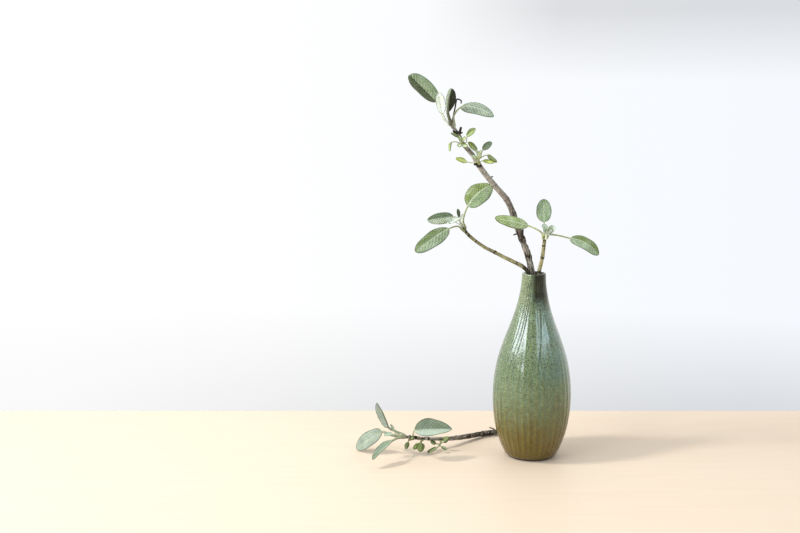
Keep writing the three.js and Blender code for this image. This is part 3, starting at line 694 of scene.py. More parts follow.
class Limb:
    """A woody stem: its middle line, its radii and the rings where leaves have grown, in millimetres."""

    def __init__(self, points, radii, rings=(), ring_swell=0.22):
        self.line = Line(points)
        self.radii = radii
        self.rings = [self.line.nearest(place) for place in rings]
        self.ring_swell = ring_swell

    def radius(self, share):
        """The bare stem's radius at a share of its length."""
        return list_value(self.radii, share)

    def ring_distance(self, share):
        """Distance along the stem to the nearest ring, in millimetres."""
        gaps = [np.abs(np.asarray(share) - ring) for ring in self.rings]
        return np.min(gaps, axis=0) * self.line.length if gaps else np.full(np.shape(share), FAR)

    def bark_place(self, at, target):
        """The place on the bark that faces a target, held off by the gap, and the way straight out there."""
        share = self.line.nearest(at)
        centre, heading = self.line.at(share), self.line.heading(share)
        out = np.array(target, float) - centre
        out = unit(out - heading * out.dot(heading))
        swell = 1 + self.ring_swell * max(0.0, 1 - float(self.ring_distance(share)) / 1.1)
        return centre + out * (self.radius(share) * swell + GAP), out


def branch_limb():
    return Limb(
        points=[
            (14, 2.5, 5.6),
            (10.5, 3, 60),
            (5.5, 3.4, 125),
            (-1.9, 3.6, 190),
            (-7.9, 2.5, 212.5),
            (-16.5, 1.5, 234),
            (-22, 1, 250),
            (-28, 1, 263),
            (-38.5, 0, 275.5),
            (-48, -0.5, 286.5),
            (-57, -1, 298.5),
            (-64, -1, 309.5),
            (-72, -2, 318.5),
            (-77, -2, 327.5),
            (-82.5, -2, 335.5),
            (-86, -2.5, 340),
        ],
        radii=[4.0, 4.0, 4.0, 3.95, 3.9, 3.75, 3.55, 3.4, 3.2, 3.0, 2.8, 2.3, 1.6],
        rings=[
            (-12, 2, 225),
            (-22, 1, 250),
            (-29, 1, 264),
            (-41, 0, 278.5),
            (-57, -1, 299.5),
            (-72, -2, 318.6),
            (-77, -2, 326.4),
            (-83, -2, 336),
        ],
    )


def fork_shoot(at, points, radii, rings):
    """A shoot that forks from the branch inside the mouth, its root seated on the bark."""
    place, out = BRANCH.bark_place(at, points[0])
    return Limb([place, place + out * 1.4, *points], radii, rings)


BRANCH = branch_limb()
LEFT_SHOOT = fork_shoot(
    at=(0, 3.6, 177),
    points=[
        (-4.5, -2.7, 182.5),
        (-4.6, -3, 188.4),
        (-8.2, -2.8, 193.6),
        (-12.6, -2.4, 197.4),
        (-20.5, -1.4, 201.4),
        (-30.8, 0, 206.3),
        (-39.4, 2, 210.6),
        (-49.4, 4, 215.4),
        (-58.8, 6, 221.6),
        (-65.3, 7, 227),
        (-68.6, 7.5, 230.6),
        (-71, 8, 235),
    ],
    radii=[1.8, 1.85, 2.1, 2.0, 1.9, 1.85, 1.75, 1.7, 1.65, 1.55],
    rings=[
        (-14, -2, 198.4),
        (-26, -1, 204),
        (-39.4, 2, 210.6),
        (-58.8, 6, 221.6),
        (-65.3, 7, 227),
        (-68.6, 7.5, 230.6),
    ],
)
RIGHT_SHOOT = fork_shoot(
    at=(0.4, 3.6, 174),
    points=[
        (4.2, -1.6, 181),
        (4.7, -1.6, 190.6),
        (6.2, -1.8, 198.2),
        (7.8, -3, 206.6),
        (8.7, -4.8, 219),
        (9.6, -6, 227.6),
    ],
    radii=[1.9, 2.0, 2.0, 1.95, 1.9, 1.7],
    rings=[(6.2, -1.8, 198), (7.8, -3, 206.6), (8.7, -4.8, 219), (9.2, -5.5, 224)],
)
SPRIG = Limb(
    points=[
        (-8, 67, 3.5),
        (-30, 60.5, 3.5),
        (-46, 54, 3.8),
        (-62.2, 40.5, 5.6),
        (-82.4, 22.4, 9),
        (-100.4, 10.9, 12.5),
        (-117.3, 3.8, 15.8),
        (-134, -2.8, 19.5),
    ],
    radii=[2.6, 2.9, 2.9, 2.8, 2.6, 2.3, 2.0, 1.8, 1.5],
    rings=[
        (-38, 57.5, 3.6),
        (-46, 54, 3.8),
        (-54.1, 47.5, 4.7),
        (-62.2, 40.5, 5.6),
        (-70.3, 33.1, 7),
        (-105.4, 8.6, 13.4),
        (-117.3, 3.8, 15.8),
        (-126.2, 0.3, 17.8),
    ],
    ring_swell=0.16,
)


def mark_share(limb, marks, share, angle):
    """How dark the bark is, from marks given as a place, a half length and a darkness."""
    dark = np.zeros_like(share)
    run = share * limb.line.length
    for number, (place, half, strength) in enumerate(marks):
        middle = limb.line.nearest(place) * limb.line.length + 0.6 * half * np.cos(angle + 1.7 * number)
        ragged = half * (1 + 0.3 * np.cos(2 * angle + number) + 0.2 * np.cos(5 * angle + 2.3 * number))
        dark = np.maximum(dark, strength * (1 - smooth(np.abs(run - middle), 0.55 * ragged, 1.25 * ragged)))
    return dark


BARK_WAVES = 9  # waves round a stem that make up its furrows


def bark_height(limb, seed, depth, knobs, rough):
    """The bark's height in millimetres over the plain rod, and how deep in a furrow it is, as a function of
    share and angle. Furrows run lengthwise; rings stand as two lips; rough is a list along the stem."""
    chance = np.random.default_rng(seed)
    length = limb.line.length
    waves = [
        (
            int(chance.integers(2, 9)),
            chance.uniform(0, 6.28),
            chance.uniform(5, 16),
            chance.uniform(0, 6.28),
            chance.uniform(0.5, 1),
        )
        for _ in range(BARK_WAVES)
    ]
    bumps = [
        (
            chance.uniform(0, length),
            chance.uniform(0, 6.28),
            chance.uniform(0.7, 1.7),
            chance.uniform(-0.4, 1),
        )
        for _ in range(knobs)
    ]

    def height(share, angle):
        run = share * length
        total = np.zeros_like(run)
        for turns, phase, period, shift, size in waves:
            drift = 1.4 * np.sin(run / period + shift) + 0.5 * np.sin(run / (0.37 * period) + 2 * shift)
            total += size * np.cos(turns * angle + phase + drift)
        total /= 2.2
        furrow = np.exp(-((total / 0.28) ** 2))
        coarse = list_value(rough, share)
        lift = depth * coarse * (0.35 * np.tanh(total) - furrow * 0.85)
        for place, turn, size, tall in bumps:
            around = np.angle(np.exp(1j * (angle - turn))) * limb.radius(share)
            near = np.exp(-((run - place) ** 2 + around**2) / size**2)
            lift += depth * tall * near * (0.5 + coarse)
        distance = limb.ring_distance(share)
        ragged = 0.55 + 0.45 * np.cos(2 * angle + run / 7)
        lift += limb.radius(share) * limb.ring_swell * 0.7 * ragged * np.exp(-((distance / 1.25) ** 2))
        lift -= limb.radius(share) * 0.1 * ragged * np.exp(-((distance / 0.4) ** 2))
        return lift, furrow * coarse

    return height


def paint_bark(rod, limb, share, angle, furrow, tone, red, marks):
    """The grain that the bark's pattern follows, its furrows and dark marks, and how grey and red it is."""
    radius = limb.radius(share)
    run = share * limb.line.length
    paint(rod, "grain", np.stack([radius * np.cos(angle), radius * np.sin(angle), run * 0.22], axis=1))
    paint(rod, "furrow", furrow)
    paint(rod, "scar", mark_share(limb, marks, share, angle))
    paint(rod, "tone", list_value(tone, share))
    paint(rod, "red", list_value(red, share))


RING_STEP = 0.55  # length between two rings of a stem's mesh
STUB_RELIEF = 0.12
STUB_SIDES = 14


def make_limb(name, limb, seed, depth, knobs, rough, tone, red, marks=(), sides=30):
    """A stem with its bark. rough, tone and red are lists along it: how deep the bark's furrows are, how grey
    it is and how red."""
    height = bark_height(limb, seed, depth, knobs, rough)

    def wobble(share, angle, outward):
        return height(share, angle)[0] - 0.1 * depth

    stations = int(limb.line.length / RING_STEP)
    rod, share, angle, _ = make_tube(name, limb.line, limb.radius, stations, sides, wobble)
    paint_bark(rod, limb, share, angle, height(share, angle)[1], tone, red, marks)
    return rod


def make_stub(limb, at, path, radii, seed, tone=(0.5, 0.4), dark=0.0):
    """A short dead twig or bud, sunk into the limb."""
    root = limb.line.at(limb.line.nearest(at))
    return make_limb(
        "stub",
        Limb([root, *path], radii),
        seed,
        STUB_RELIEF,
        knobs=5,
        rough=[1, 1],
        tone=tone,
        red=[0, 0],
        marks=[(path[0], FAR, dark)],
        sides=STUB_SIDES,
    )


def wood_material(name, light, dark, wood, warm=None):
    """Bark whose colour and relief follow its painted grain, furrows and scars."""
    nodes = Nodes(bpy.data.materials.new(name))
    grain = nodes.painted("grain", "Vector")
    streaks = nodes.noise(grain, 0.75, 5, 0.7)
    patches = nodes.noise(grain, 0.33, 3, 0.6)
    pale = nodes.sum(nodes.painted("tone"), nodes.spread(patches, 0.3, 0.7, -0.35, 0.35))
    pale = nodes.sum(pale, nodes.spread(streaks, 0.32, 0.68, -0.55, 0.55))
    bark = nodes.mix(nodes.spread(pale, 0, 1), dark, light)
    bark = nodes.mix(nodes.painted("red"), bark, warm or wood.red)
    bark = nodes.mix(nodes.times(nodes.painted("furrow"), 0.85), bark, wood.scar)
    scar = nodes.sum(nodes.painted("scar"), nodes.spread(streaks, 0.3, 0.7, -0.25, 0.25))
    bark = nodes.mix(nodes.times(nodes.spread(scar, 0.3, 0.8), 0.9), bark, wood.scar)
    fine = nodes.sum(nodes.noise(grain, 3.4, 4, 0.7), streaks)
    nodes.surface(
        Base_Color=bark,
        Roughness=nodes.spread(streaks, 0.3, 0.7, 0.62, 0.9),
        Specular_IOR_Level=0.35,
        Normal=nodes.bump(fine, 0.0003, 0.7),
    )
    return nodes.owner


def finish_wood(pieces, node, material):
    """Joins a stem and its twigs into one piece and gives it its bark."""
    stem = join(pieces, "fine_" + node)
    tidy_mesh(stem, merge=5e-6)
    stem.data.materials.append(material)
    hand_over(stem, node)


# Dark marks on each stem, as a place, a half length along the stem and a darkness.
BRANCH_MARKS = [
    ((-12, 2, 225), 1.2, 0.7),
    ((-22, 1, 250), 1.6, 0.5),
    ((-24.5, 1, 255), 0.8, 0.4),
    ((-26.5, 1, 259.6), 0.9, 0.4),
    ((-29, 1, 264), 1.0, 0.5),
    ((-41, 0, 278.5), 1.2, 0.5),
    ((-57, -1, 299.5), 2.4, 1.0),
    ((-67.5, -1.5, 313.5), 0.7, 0.5),
    ((-72, -2, 318.6), 1.4, 0.7),
    ((-77, -2, 326.4), 1.7, 0.9),
    ((-80, -2, 331.5), 2.2, 1.0),
    ((-83, -2, 336), 0.8, 0.5),
]
LEFT_SHOOT_MARKS = [
    ((-9.5, -2.7, 195), 5.5, 1.0),
    ((-17, -1.8, 199.8), 2.2, 0.6),
    ((-39.4, 2, 210.6), 1.3, 1.0),
    ((-47, 3.6, 214.4), 2.2, 0.35),
    ((-58.8, 6, 221.6), 0.8, 0.75),
    ((-65.3, 7, 227), 1.1, 1.0),
    ((-68.6, 7.5, 230.6), 1.5, 1.0),
]
RIGHT_SHOOT_MARKS = [
    ((4.7, -1.6, 191), 1.4, 1.0),
    ((6.2, -1.8, 198), 0.6, 0.5),
    ((7.8, -3, 206.6), 1.1, 1.0),
    ((8.7, -4.8, 219), 0.9, 0.9),
    ((9.2, -5.5, 224), 1.5, 1.0),
]
SPRIG_MARKS = [
    ((-9, 66.8, 3.5), 3.0, 0.8),
    ((-38, 57.5, 3.6), 1.2, 0.8),
    ((-42, 56, 3.7), 0.8, 0.7),
    ((-46, 54, 3.8), 1.5, 1.0),
    ((-50.1, 50.8, 4.2), 0.8, 0.7),
    ((-54.1, 47.5, 4.7), 1.1, 0.9),
    ((-62.2, 40.5, 5.6), 1.4, 0.9),
    ((-70.3, 33.1, 7), 0.9, 0.6),
    ((-105.4, 8.6, 13.4), 1.6, 0.9),
    ((-110.3, 6.4, 14.5), 1.0, 0.7),
    ((-117.3, 3.8, 15.8), 1.6, 0.9),
    ((-126.2, 0.3, 17.8), 1.3, 0.7),
]

# The branch's dead twigs and buds: where each sits, the way that it goes and its radii. The hooked twig at
# the branch's top has the longest path.
BRANCH_STUBS = [
    dict(
        at=(-14.5, 2, 229),
        path=[(-18.5, 0.5, 229.5), (-21.5, -0.5, 228.6)],
        radii=[1.1, 0.9, 0.5],
        seed=1,
        tone=(0.3, 0.2),
        dark=0.5,
    ),
    dict(
        at=(-13, 2, 226),
        path=[(-12.6, -1, 229), (-12.2, -1.8, 234.5)],
        radii=[1.3, 1.1, 0.8],
        seed=2,
        tone=(0.1, 0.1),
        dark=0.9,
    ),
    dict(
        at=(-47, -0.5, 285.6),
        path=[(-45.5, -0.8, 286.4), (-42.6, -1, 287.2)],
        radii=[0.7, 0.8, 0.5],
        seed=3,
        tone=(0.4, 0.3),
        dark=0.3,
    ),
    dict(
        at=(-77, -2, 328),
        path=[(-76.4, -3.4, 331), (-75, -4, 336)],
        radii=[1.3, 1.4, 1.1],
        seed=4,
        tone=(0, 0),
        dark=1.0,
    ),
    dict(
        at=(-84, -2, 338),
        path=[
            (-82.6, 0.5, 346),
            (-80.8, 2, 354.5),
            (-79.6, 2.8, 361.4),
            (-79, 3, 363.1),
            (-77.2, 3, 362.9),
            (-75, 3, 361.9),
            (-74.6, 3, 360.8),
            (-75, 3, 358.8),
        ],
        radii=[0.95, 0.8, 0.75, 0.8, 0.8, 0.75, 0.6],
        seed=5,
        tone=(0.1, 0.1),
        dark=0.95,
    ),
    dict(
        at=(-79, -2, 330),
        path=[(-81.4, -3.4, 331.2), (-83, -3.8, 332.6)],
        radii=[1.2, 1.2, 0.7],
        seed=7,
        tone=(0, 0),
        dark=1.0,
    ),
    dict(
        at=(-78.4, -2, 329),
        path=[(-75.6, -3.4, 329.8), (-73.6, -4, 331)],
        radii=[1.1, 1.0, 0.7],
        seed=8,
        tone=(0, 0),
        dark=0.9,
    ),
    dict(
        at=(-57, -1, 299),
        path=[(-56.6, -4.4, 298.2), (-56, -5.2, 297.4)],
        radii=[1.9, 1.7, 1.1],
        seed=9,
        tone=(0, 0),
        dark=1.0,
    ),
    dict(
        at=(-59, -1, 301),
        path=[(-61, -4, 299.6), (-61.8, -4.4, 299)],
        radii=[1.4, 1.3, 0.9],
        seed=10,
        tone=(0, 0),
        dark=0.9,
    ),
]
SPRIG_STUB = dict(at=(-31, 60, 3.5), path=[(-33.5, 58, 8), (-38, 57.4, 9.8)], radii=[1.1, 0.9, 0.6], seed=6)

# The sprig's buds, which all look forwards: where each sits, how far it goes along X and Z, and how pale and
# how dark it is.
SPRIG_BUDS = [
    ((-127, 0, 18), 1.6, 1.0, 0.9, 0),
    ((-125, 0.8, 17.5), -0.4, 2.0, 0.2, 0.8),
    ((-122, 2, 16.9), 0.6, -1.4, 0.8, 0),
    ((-119, 3.2, 16.2), -0.6, 1.8, 0.2, 0.9),
    ((-116, 4.4, 15.5), 0.8, 0.4, 0.9, 0),
    ((-112, 6, 14.8), -0.6, -1.2, 0.2, 0.9),
    ((-108, 7.6, 14), 1.0, 1.0, 0.8, 0),
]
BUD_REACH = 2.4
BUD_RADII = [1.6, 2.0, 1.2]
BUD_SEED = 11


class IKEBANA_OT_main_branch(Operator):
    """Grows the leaning woody branch with its dead twigs"""

    bl_idname = "ikebana.main_branch"
    bl_label = "Main Branch"

    def execute(self, context):
        wood = context.scene.ikebana_wood
        stem = make_limb(
            "stem",
            BRANCH,
            seed=11,
            depth=wood.relief / MM,
            knobs=90,
            rough=[0.5, 0.5, 0.6, 0.8, 1.3, 1.6, 1.8, 1.8, 0.6, 0.4, 0.6, 1.0],
            tone=[0.4, 0.4, 0.4, 0.45, 0.55, 0.6, 0.5, 0.18, 0.5, 0.85, 0.8, 0.6],
            red=[0, 0, 0, 0, 0, 0, 0, 0.25, 0.35, 0.1, 0, 0.1],
            marks=BRANCH_MARKS,
        )
        stubs = [make_stub(BRANCH, **stub) for stub in BRANCH_STUBS]
        material = wood_material("grey_bark", wood.grey, wood.brown, wood)
        finish_wood([stem, *stubs], "main_branch", material)
        return {"FINISHED"}


class IKEBANA_OT_shoots(Operator):
    """Grows the two side shoots that leave the mouth of the vase"""

    bl_idname = "ikebana.shoots"
    bl_label = "Side Shoots"

    def execute(self, context):
        wood = context.scene.ikebana_wood
        material = wood_material("shoot_bark", wood.tan, wood.olive, wood, warm=wood.tan)
        left = make_limb(
            "left",
            LEFT_SHOOT,
            seed=21,
            depth=0.5 * wood.relief / MM,
            knobs=26,
            rough=[0.8, 0.8, 0.6, 0.5, 0.5, 0.6, 0.8],
            tone=[0.1, 0.15, 0.5, 0.6, 0.35, 0.25, 0.2],
            red=[0, 0],
            marks=LEFT_SHOOT_MARKS,
            sides=22,
        )
        finish_wood([left], "left_shoot", material)
        right = make_limb(
            "right",
            RIGHT_SHOOT,
            seed=22,
            depth=0.5 * wood.relief / MM,
            knobs=14,
            rough=[0.8, 0.6, 0.5, 0.5, 0.8],
            tone=[0.2, 0.6, 0.85, 0.8, 0.55],
            red=[0, 0],
            marks=RIGHT_SHOOT_MARKS,
            sides=22,
        )
        finish_wood([right], "right_shoot", material)
        return {"FINISHED"}


class IKEBANA_OT_sprig_stem(Operator):
    """Lays the woody stem of the cut sprig on the table"""

    bl_idname = "ikebana.sprig_stem"
    bl_label = "Sprig Stem"

    def execute(self, context):
        wood = context.scene.ikebana_wood
        stem = make_limb(
            "sprig",
            SPRIG,
            seed=31,
            depth=0.9 * wood.relief / MM,
            knobs=40,
            rough=[0.9, 1.8, 1.9, 1.7, 1.1, 0.7, 0.6, 0.6],
            tone=[0.3, 0.35, 0.25, 0.4, 0.6, 0.9, 0.75, 0.5],
            red=[0, 0, 0, 0, 0.1, 0, 0, 0],
            marks=SPRIG_MARKS,
        )
        twig = make_stub(SPRIG, **SPRIG_STUB)
        buds = []
        for number, (at, x, z, tone, dark) in enumerate(SPRIG_BUDS):
            path = [(at[0] + x, at[1] - BUD_REACH, at[2] + z)]
            buds.append(make_stub(SPRIG, at, path, BUD_RADII, BUD_SEED + number, (tone, tone), dark))
        material = wood_material("sprig_bark", wood.grey, wood.dark, wood)
        finish_wood([stem, twig, *buds], "sprig_stem", material)
        return {"FINISHED"}


# Leaves

FULL_CELLS = (112, 40)  # cells along and across a full leaf's blade
SMALL_CELLS = (40, 16)
FULL_PAIRS = 9  # pairs of side veins
SMALL_PAIRS = 5
STALK_RADIUS = 0.85
SMALL_STALK_RADIUS = 0.5
STALK_SIDES = 12
FULL_WIDTH = 18  # the width of a blade whose relief has its full size
BLADE_END = 1e-4  # the points within this share of a blade's length from its ends are drawn together


class Blade:
    """The middle line and the side directions of a blade; it bows toward its face and sweeps to its side."""

    def __init__(self, leaf):
        self.start = np.array(leaf["base"], float)
        reach = np.array(leaf["tip"], float) - self.start
        self.length = np.linalg.norm(reach)
        self.along = reach / self.length
        face = np.array(leaf["face"], float)
        self.up = unit(face - self.along * face.dot(self.along))
        self.side = np.cross(self.up, self.along)
        self.width = leaf["width"]
        self.bow, self.sweep = leaf.get("bow", 0), leaf.get("sweep", 0)
        self.fold = math.radians(leaf.get("fold", 0))
        self.roll = math.radians(leaf.get("roll", 0))
        self.taper, self.point = leaf.get("taper", 0), leaf.get("point", 0)

    def middle(self, share):
        """The place on the blade's middle line at a share of its length."""
        share = np.asarray(share, float)[..., None]
        arch = 4 * share * (1 - share)
        return (
            self.start
            + self.along * self.length * share
            + self.up * self.bow * arch
            + self.side * self.sweep * arch
        )

    def half(self, share):
        """Half the width: oblong, round at the base, blunt at the tip."""
        moved = np.clip(share, 0, 1) ** 0.93
        outline = np.clip(1 - np.abs(2 * moved - 1) ** 2.1, 0, 1) ** 0.52
        outline = outline * (1 - self.taper * (1 - share) ** 2) * (1 - self.point * share**3)
        return self.width / 2 * outline * (1.02 - 0.04 * share)


def make_blade(leaf, blade, settings, seed, cells, pairs):
    """A puckered blade with side veins, a scalloped edge and a softly creased middle."""
    sheet, along, across_share = new_grid("blade", *cells)
    u = along - 0.085 * np.sin(TURN * along)
    v = 2 * across_share - 1
    across, hand = np.abs(v), np.sign(v)
    phase = np.random.default_rng(seed).uniform(0, 6.28, 6)
    size = blade.width / FULL_WIDTH
    half = blade.half(u)
    run = u * blade.length

    tooth = 0.5 + 0.5 * np.cos(TURN * run / (1.35 * size**0.5) + phase[0] * hand)
    rim = smooth(across, 0.8, 1) * np.clip(half / (0.4 * blade.width), 0, 1)
    uneven = 1 + 0.02 * np.sin(5.1 * u + phase[1] + hand) + 0.014 * np.sin(13 * u + phase[2] * hand)
    reach = half * across * uneven + rim * 0.2 * size * (tooth - 0.7)

    spacing = blade.length / (pairs + 1.2)
    lane = (run - reach * (0.72 + 0.3 * across)) / spacing + 0.25 * hand + 0.12 * np.sin(phase[3] + run / 5)
    number = np.round(lane)
    off = np.abs(lane - number)
    vein = np.exp(-((off * spacing * 0.8 / (0.42 * size**0.5)) ** 2)) * (1 - across**5)
    rib = np.exp(-((reach / (size * (0.62 - 0.36 * u))) ** 2)) * smooth(1 - u, 0.02, 0.25)
    cross_vein = np.cos(TURN * reach / (2.0 * size**0.5) + number * 1.9 + phase[4] + hand)
    swell = smooth(off * 2, 0, 0.9) * (0.72 + 0.28 * cross_vein)
    swell = swell * (1 - across**6) * smooth(reach, 0, 1.2 * size)

    crease = 0.5 * size
    lift = (np.sqrt(reach**2 + crease**2) - crease) * math.sin(blade.fold)
    out = reach * math.cos(blade.fold)
    if blade.roll:
        radius = blade.width / 2 / blade.roll
        out, lift = radius * np.sin(reach / radius), lift + radius * (1 - np.cos(reach / radius))
    ripple = 0.45 * size * across**2 * np.sin(TURN * 1.35 * u + phase[5] + 1.6 * hand)
    lift += ripple * smooth(1 - u, 0, 0.2)
    lift += settings.pucker / MM * size**0.7 * swell
    place_points(sheet, blade.middle(u) + blade.side * (hand * out)[:, None] + blade.up * lift[:, None])
    thicken(sheet, blade, u, across, settings.thickness)

    layers = {
        "vein": vein * leaf.get("veins", 1),
        "rib": rib * leaf.get("rib", 1),
        "pucker": swell,
        "edge": smooth(reach, half - 1.5 * size**0.5, half - 0.2),
        "half": v,
    }
    for name, values in layers.items():
        paint(sheet, name, np.concatenate([values, values]))
    paint(sheet, "under", np.repeat([0.0, 1.0], len(u)))
    return sheet


def thicken(sheet, blade, u, across, thickness):
    """Gives a blade its thickness, thinner at its edge and tip, and closes its two ends. The points of its
    upper face come first, then those of its back."""
    take(sheet)
    bpy.ops.object.modifier_add(type="SOLIDIFY")
    sheet.modifiers[-1].thickness = thickness
    sheet.modifiers[-1].offset = 0
    bpy.ops.object.modifier_apply(modifier=sheet.modifiers[-1].name)
    shell = read_points(sheet)
    face, back = shell[: len(u)], shell[len(u) :]
    middle = (face + back) / 2
    thin = (1 - 0.5 * smooth(across, 0.7, 1) - 0.2 * smooth(u, 0.8, 1))[:, None]
    face = middle + (face - middle) * thin
    back = middle + (back - middle) * thin
    for end in (u < BLADE_END, u > 1 - BLADE_END):
        face[end] = middle[end].mean(axis=0) + blade.up * thickness * 0.3
        back[end] = middle[end].mean(axis=0) - blade.up * thickness * 0.3
    place_points(sheet, np.vstack([face, back]) / MM)


def make_stalk(leaf, blade, root, rise, thick, rib_end, settings, fine=1.0):
    """A leaf stalk that rises out of the wood, follows its via points and runs on under the blade as the
    midrib."""

    def under(share):
        return blade.middle(share) - blade.up * settings.thickness / MM * (0.75 - 0.25 * share)

    via = [np.array(place, float) for place in leaf.get("via", [])]
    line = Line([root, rise, *via, under(0.0), under(0.2), under(rib_end), under(0.94)])
    foot = line.nearest(under(0.0))
    tip = line.nearest(under(rib_end))
    places = [0, 0.06, foot * 0.5, foot, foot + (tip - foot) * 0.35, tip, 1]
    sizes = [1.4, 1.3, 0.95, 0.9, 0.75, 0.5, 0.16]

    def radius(share):
        return thick * np.interp(share, places, sizes)

    def channel(share, angle, outward):
        return -0.24 * radius(share) * np.clip(outward @ blade.up, 0, 1) ** 3

    stations = max(14, int(line.length / 0.9 * fine))
    rod, share, _, outward = make_tube("stalk", line, radius, stations, STALK_SIDES, channel)
    paint(rod, "stalk", 1 - 0.35 * smooth(share, foot, min(1, foot + 0.2)))
    paint(rod, "under", smooth(-(outward @ blade.up), -0.3, 0.6))
    for name in ("vein", "rib", "pucker", "edge", "half"):
        paint(rod, name, np.zeros(len(share)))
    return rod


def first_way(leaf):
    """The first place that a leaf's stalk heads for."""
    return np.array((leaf.get("via") or [leaf["base"]])[0], float)


# A leaf's look where its table doesn't say otherwise: how yellow it is, how light, how woolly, how pale its
# under side is and how dark its crease. How light a leaf or one half is holds painted light and shade as well
# as its own colour; the dark crease by the midrib is painted shade.
LOOK = {"warm": 0.0, "tone": 1.0, "wool": 0.0, "felt": 1.0, "crease": 0.0}


def paint_look(piece, leaf):
    """Paints a leaf's own look. A pair of numbers is for the blade's two halves, its minus side first."""
    count = len(piece.data.vertices)
    half = np.zeros(count)
    if piece.data.attributes.get("half"):
        piece.data.attributes["half"].data.foreach_get("value", half)
    for name, plain in LOOK.items():
        first, second = np.broadcast_to(leaf.get(name, plain), 2)
        paint(piece, name, first + (second - first) * smooth(half, -0.22, 0.22))


def full_leaf(node, host, leaf, settings, seed):
    """One large leaf with its stalk, seated on a limb."""
    blade = Blade(leaf)
    share = host.line.nearest(leaf["at"])
    root, heading = host.line.at(share), host.line.heading(share)
    place, _ = host.bark_place(leaf["at"], first_way(leaf))
    rise = place + heading * 1.6
    thick = leaf.get("stalk", STALK_RADIUS)
    sheet = make_blade(leaf, blade, settings, seed, FULL_CELLS, FULL_PAIRS)
    stalk = make_stalk(leaf, blade, root, rise, thick, 0.62, settings)
    piece = join([sheet, stalk], "fine_" + node)
    paint_look(piece, leaf)
    tidy_mesh(piece)
    return piece


def leaf_spray(node, host, spray, settings, seed):
    """A short green shoot on a limb with its small leaves."""
    place, out = host.bark_place(spray["at"], spray["axis"][0])
    line = Line([place, place + out * 1.2, *spray["axis"]])
    rod, share, _, _ = make_tube("axis", line, lambda s: list_value(spray["radii"], s), 26, 14)
    paint(rod, "stalk", np.ones(len(share)))
    paint_look(rod, spray)
    pieces = [rod]
    for number, leaf in enumerate(spray["leaves"]):
        blade = Blade(leaf)
        root = line.at(leaf["start"])
        rise = root + unit(first_way(leaf) - root)
        sheet = make_blade(leaf, blade, settings, seed + number, SMALL_CELLS, SMALL_PAIRS)
        stalk = make_stalk(leaf, blade, root, rise, SMALL_STALK_RADIUS, 0.4, settings, fine=0.8)
        small = join([sheet, stalk], "small_leaf")
        paint_look(small, {**spray, **leaf})
        pieces.append(small)
    piece = join(pieces, "fine_" + node)
    tidy_mesh(piece)
    return piece


def leaf_material(name, settings):
    """Grey-green felt over a fine net of veins, paler below, yellower in young leaves and white with wool.
    Shade is painted into the grooves, the fine net and the crease by the midrib, and light and shade into
    each leaf's tone.
    """
    nodes = Nodes(bpy.data.materials.new(name))
    place = nodes.place()
    broad = nodes.noise(place, 85, 3, 0.55)
    fine = nodes.noise(place, 900, 2, 0.5)
    cell = nodes.cell_edge(nodes.warp(place, 500, 0.0006), 600)
    net = nodes.spread(cell, 0.02, 0.26, 1, 0)
    under, wool = nodes.painted("under"), nodes.painted("wool")
    vein, rib = nodes.painted("vein"), nodes.painted("rib")
    on_stalk = nodes.painted("stalk")

    top = nodes.mix(nodes.painted("warm"), settings.upper, settings.young)
    # Painted shade: the upper side darkens towards the groove green between the swells, in the side veins and
    # in the fine net.
    deep = nodes.mix(0.72, top, settings.deep)
    hollow = nodes.times(nodes.rest(nodes.painted("pucker")), 0.36)
    hollow = nodes.larger(hollow, nodes.larger(nodes.times(vein, 0.72), nodes.times(net, 0.42)))
    top = nodes.mix(hollow, top, deep)
    haze = nodes.spread(nodes.noise(place, 120, 3, 0.5), 0.4, 0.7, 0, 0.3)
    top = nodes.mix(haze, top, settings.vein)
    top = nodes.mix(nodes.times(rib, 0.85), top, settings.vein)

    ribs = nodes.larger(nodes.times(vein, 0.5), nodes.times(rib, 0.7))
    below = nodes.mix(ribs, settings.under, settings.vein)
    below = nodes.mix(nodes.times(net, 0.12), below, nodes.mix(0.5, below, settings.upper))
    below = nodes.mix(nodes.painted("felt"), top, below)
    leaf = nodes.mix(under, top, below)
    wool_share = nodes.times(wool, nodes.spread(fine, 0.3, 0.6, 0.85, 1))
    wool_share = nodes.times(wool_share, nodes.rest(nodes.times(hollow, 0.6)))
    leaf = nodes.mix(wool_share, leaf, settings.wool)
    stalk = nodes.mix(nodes.times(under, 0.55), settings.stalk, settings.vein)
    stalk = nodes.mix(nodes.times(wool, 0.7), stalk, settings.wool)
    leaf = nodes.mix(on_stalk, leaf, stalk)

    # Each leaf's tone holds its own lightness and the light and shade painted on whole leaves and on single
    # halves.
    shade = nodes.times(nodes.painted("tone"), nodes.spread(broad, 0.3, 0.7, 0.92, 1.2))
    shade = nodes.times(shade, nodes.spread(nodes.painted("edge"), 0, 1, 1, 0.42))
    # Painted shade: a dark crease along the midrib, where the blade folds.
    near_rib = nodes.spread(nodes.math("ABSOLUTE", nodes.painted("half")), 0, 0.16, 1, 0)
    crease = nodes.times(nodes.times(nodes.painted("crease"), near_rib), nodes.rest(on_stalk))
    shade = nodes.times(shade, nodes.rest(crease))
    leaf = nodes.mix(1.0, leaf, shade, blend="MULTIPLY")
    felt = nodes.sum(nodes.spread(cell, 0, 0.35), nodes.times(fine, 0.35))
    nodes.surface(
        Base_Color=leaf,
        Roughness=nodes.spread(fine, 0.3, 0.7, 0.62, 0.82),
        Specular_IOR_Level=0.22,
        Sheen_Weight=0.1,
        Sheen_Roughness=0.45,
        Subsurface_Weight=0.3,
        Subsurface_Radius=(0.8, 1.0, 0.35),
        Subsurface_Scale=0.0009,
        Normal=nodes.bump(felt, settings.net, 0.5),
    )
    return nodes.owner


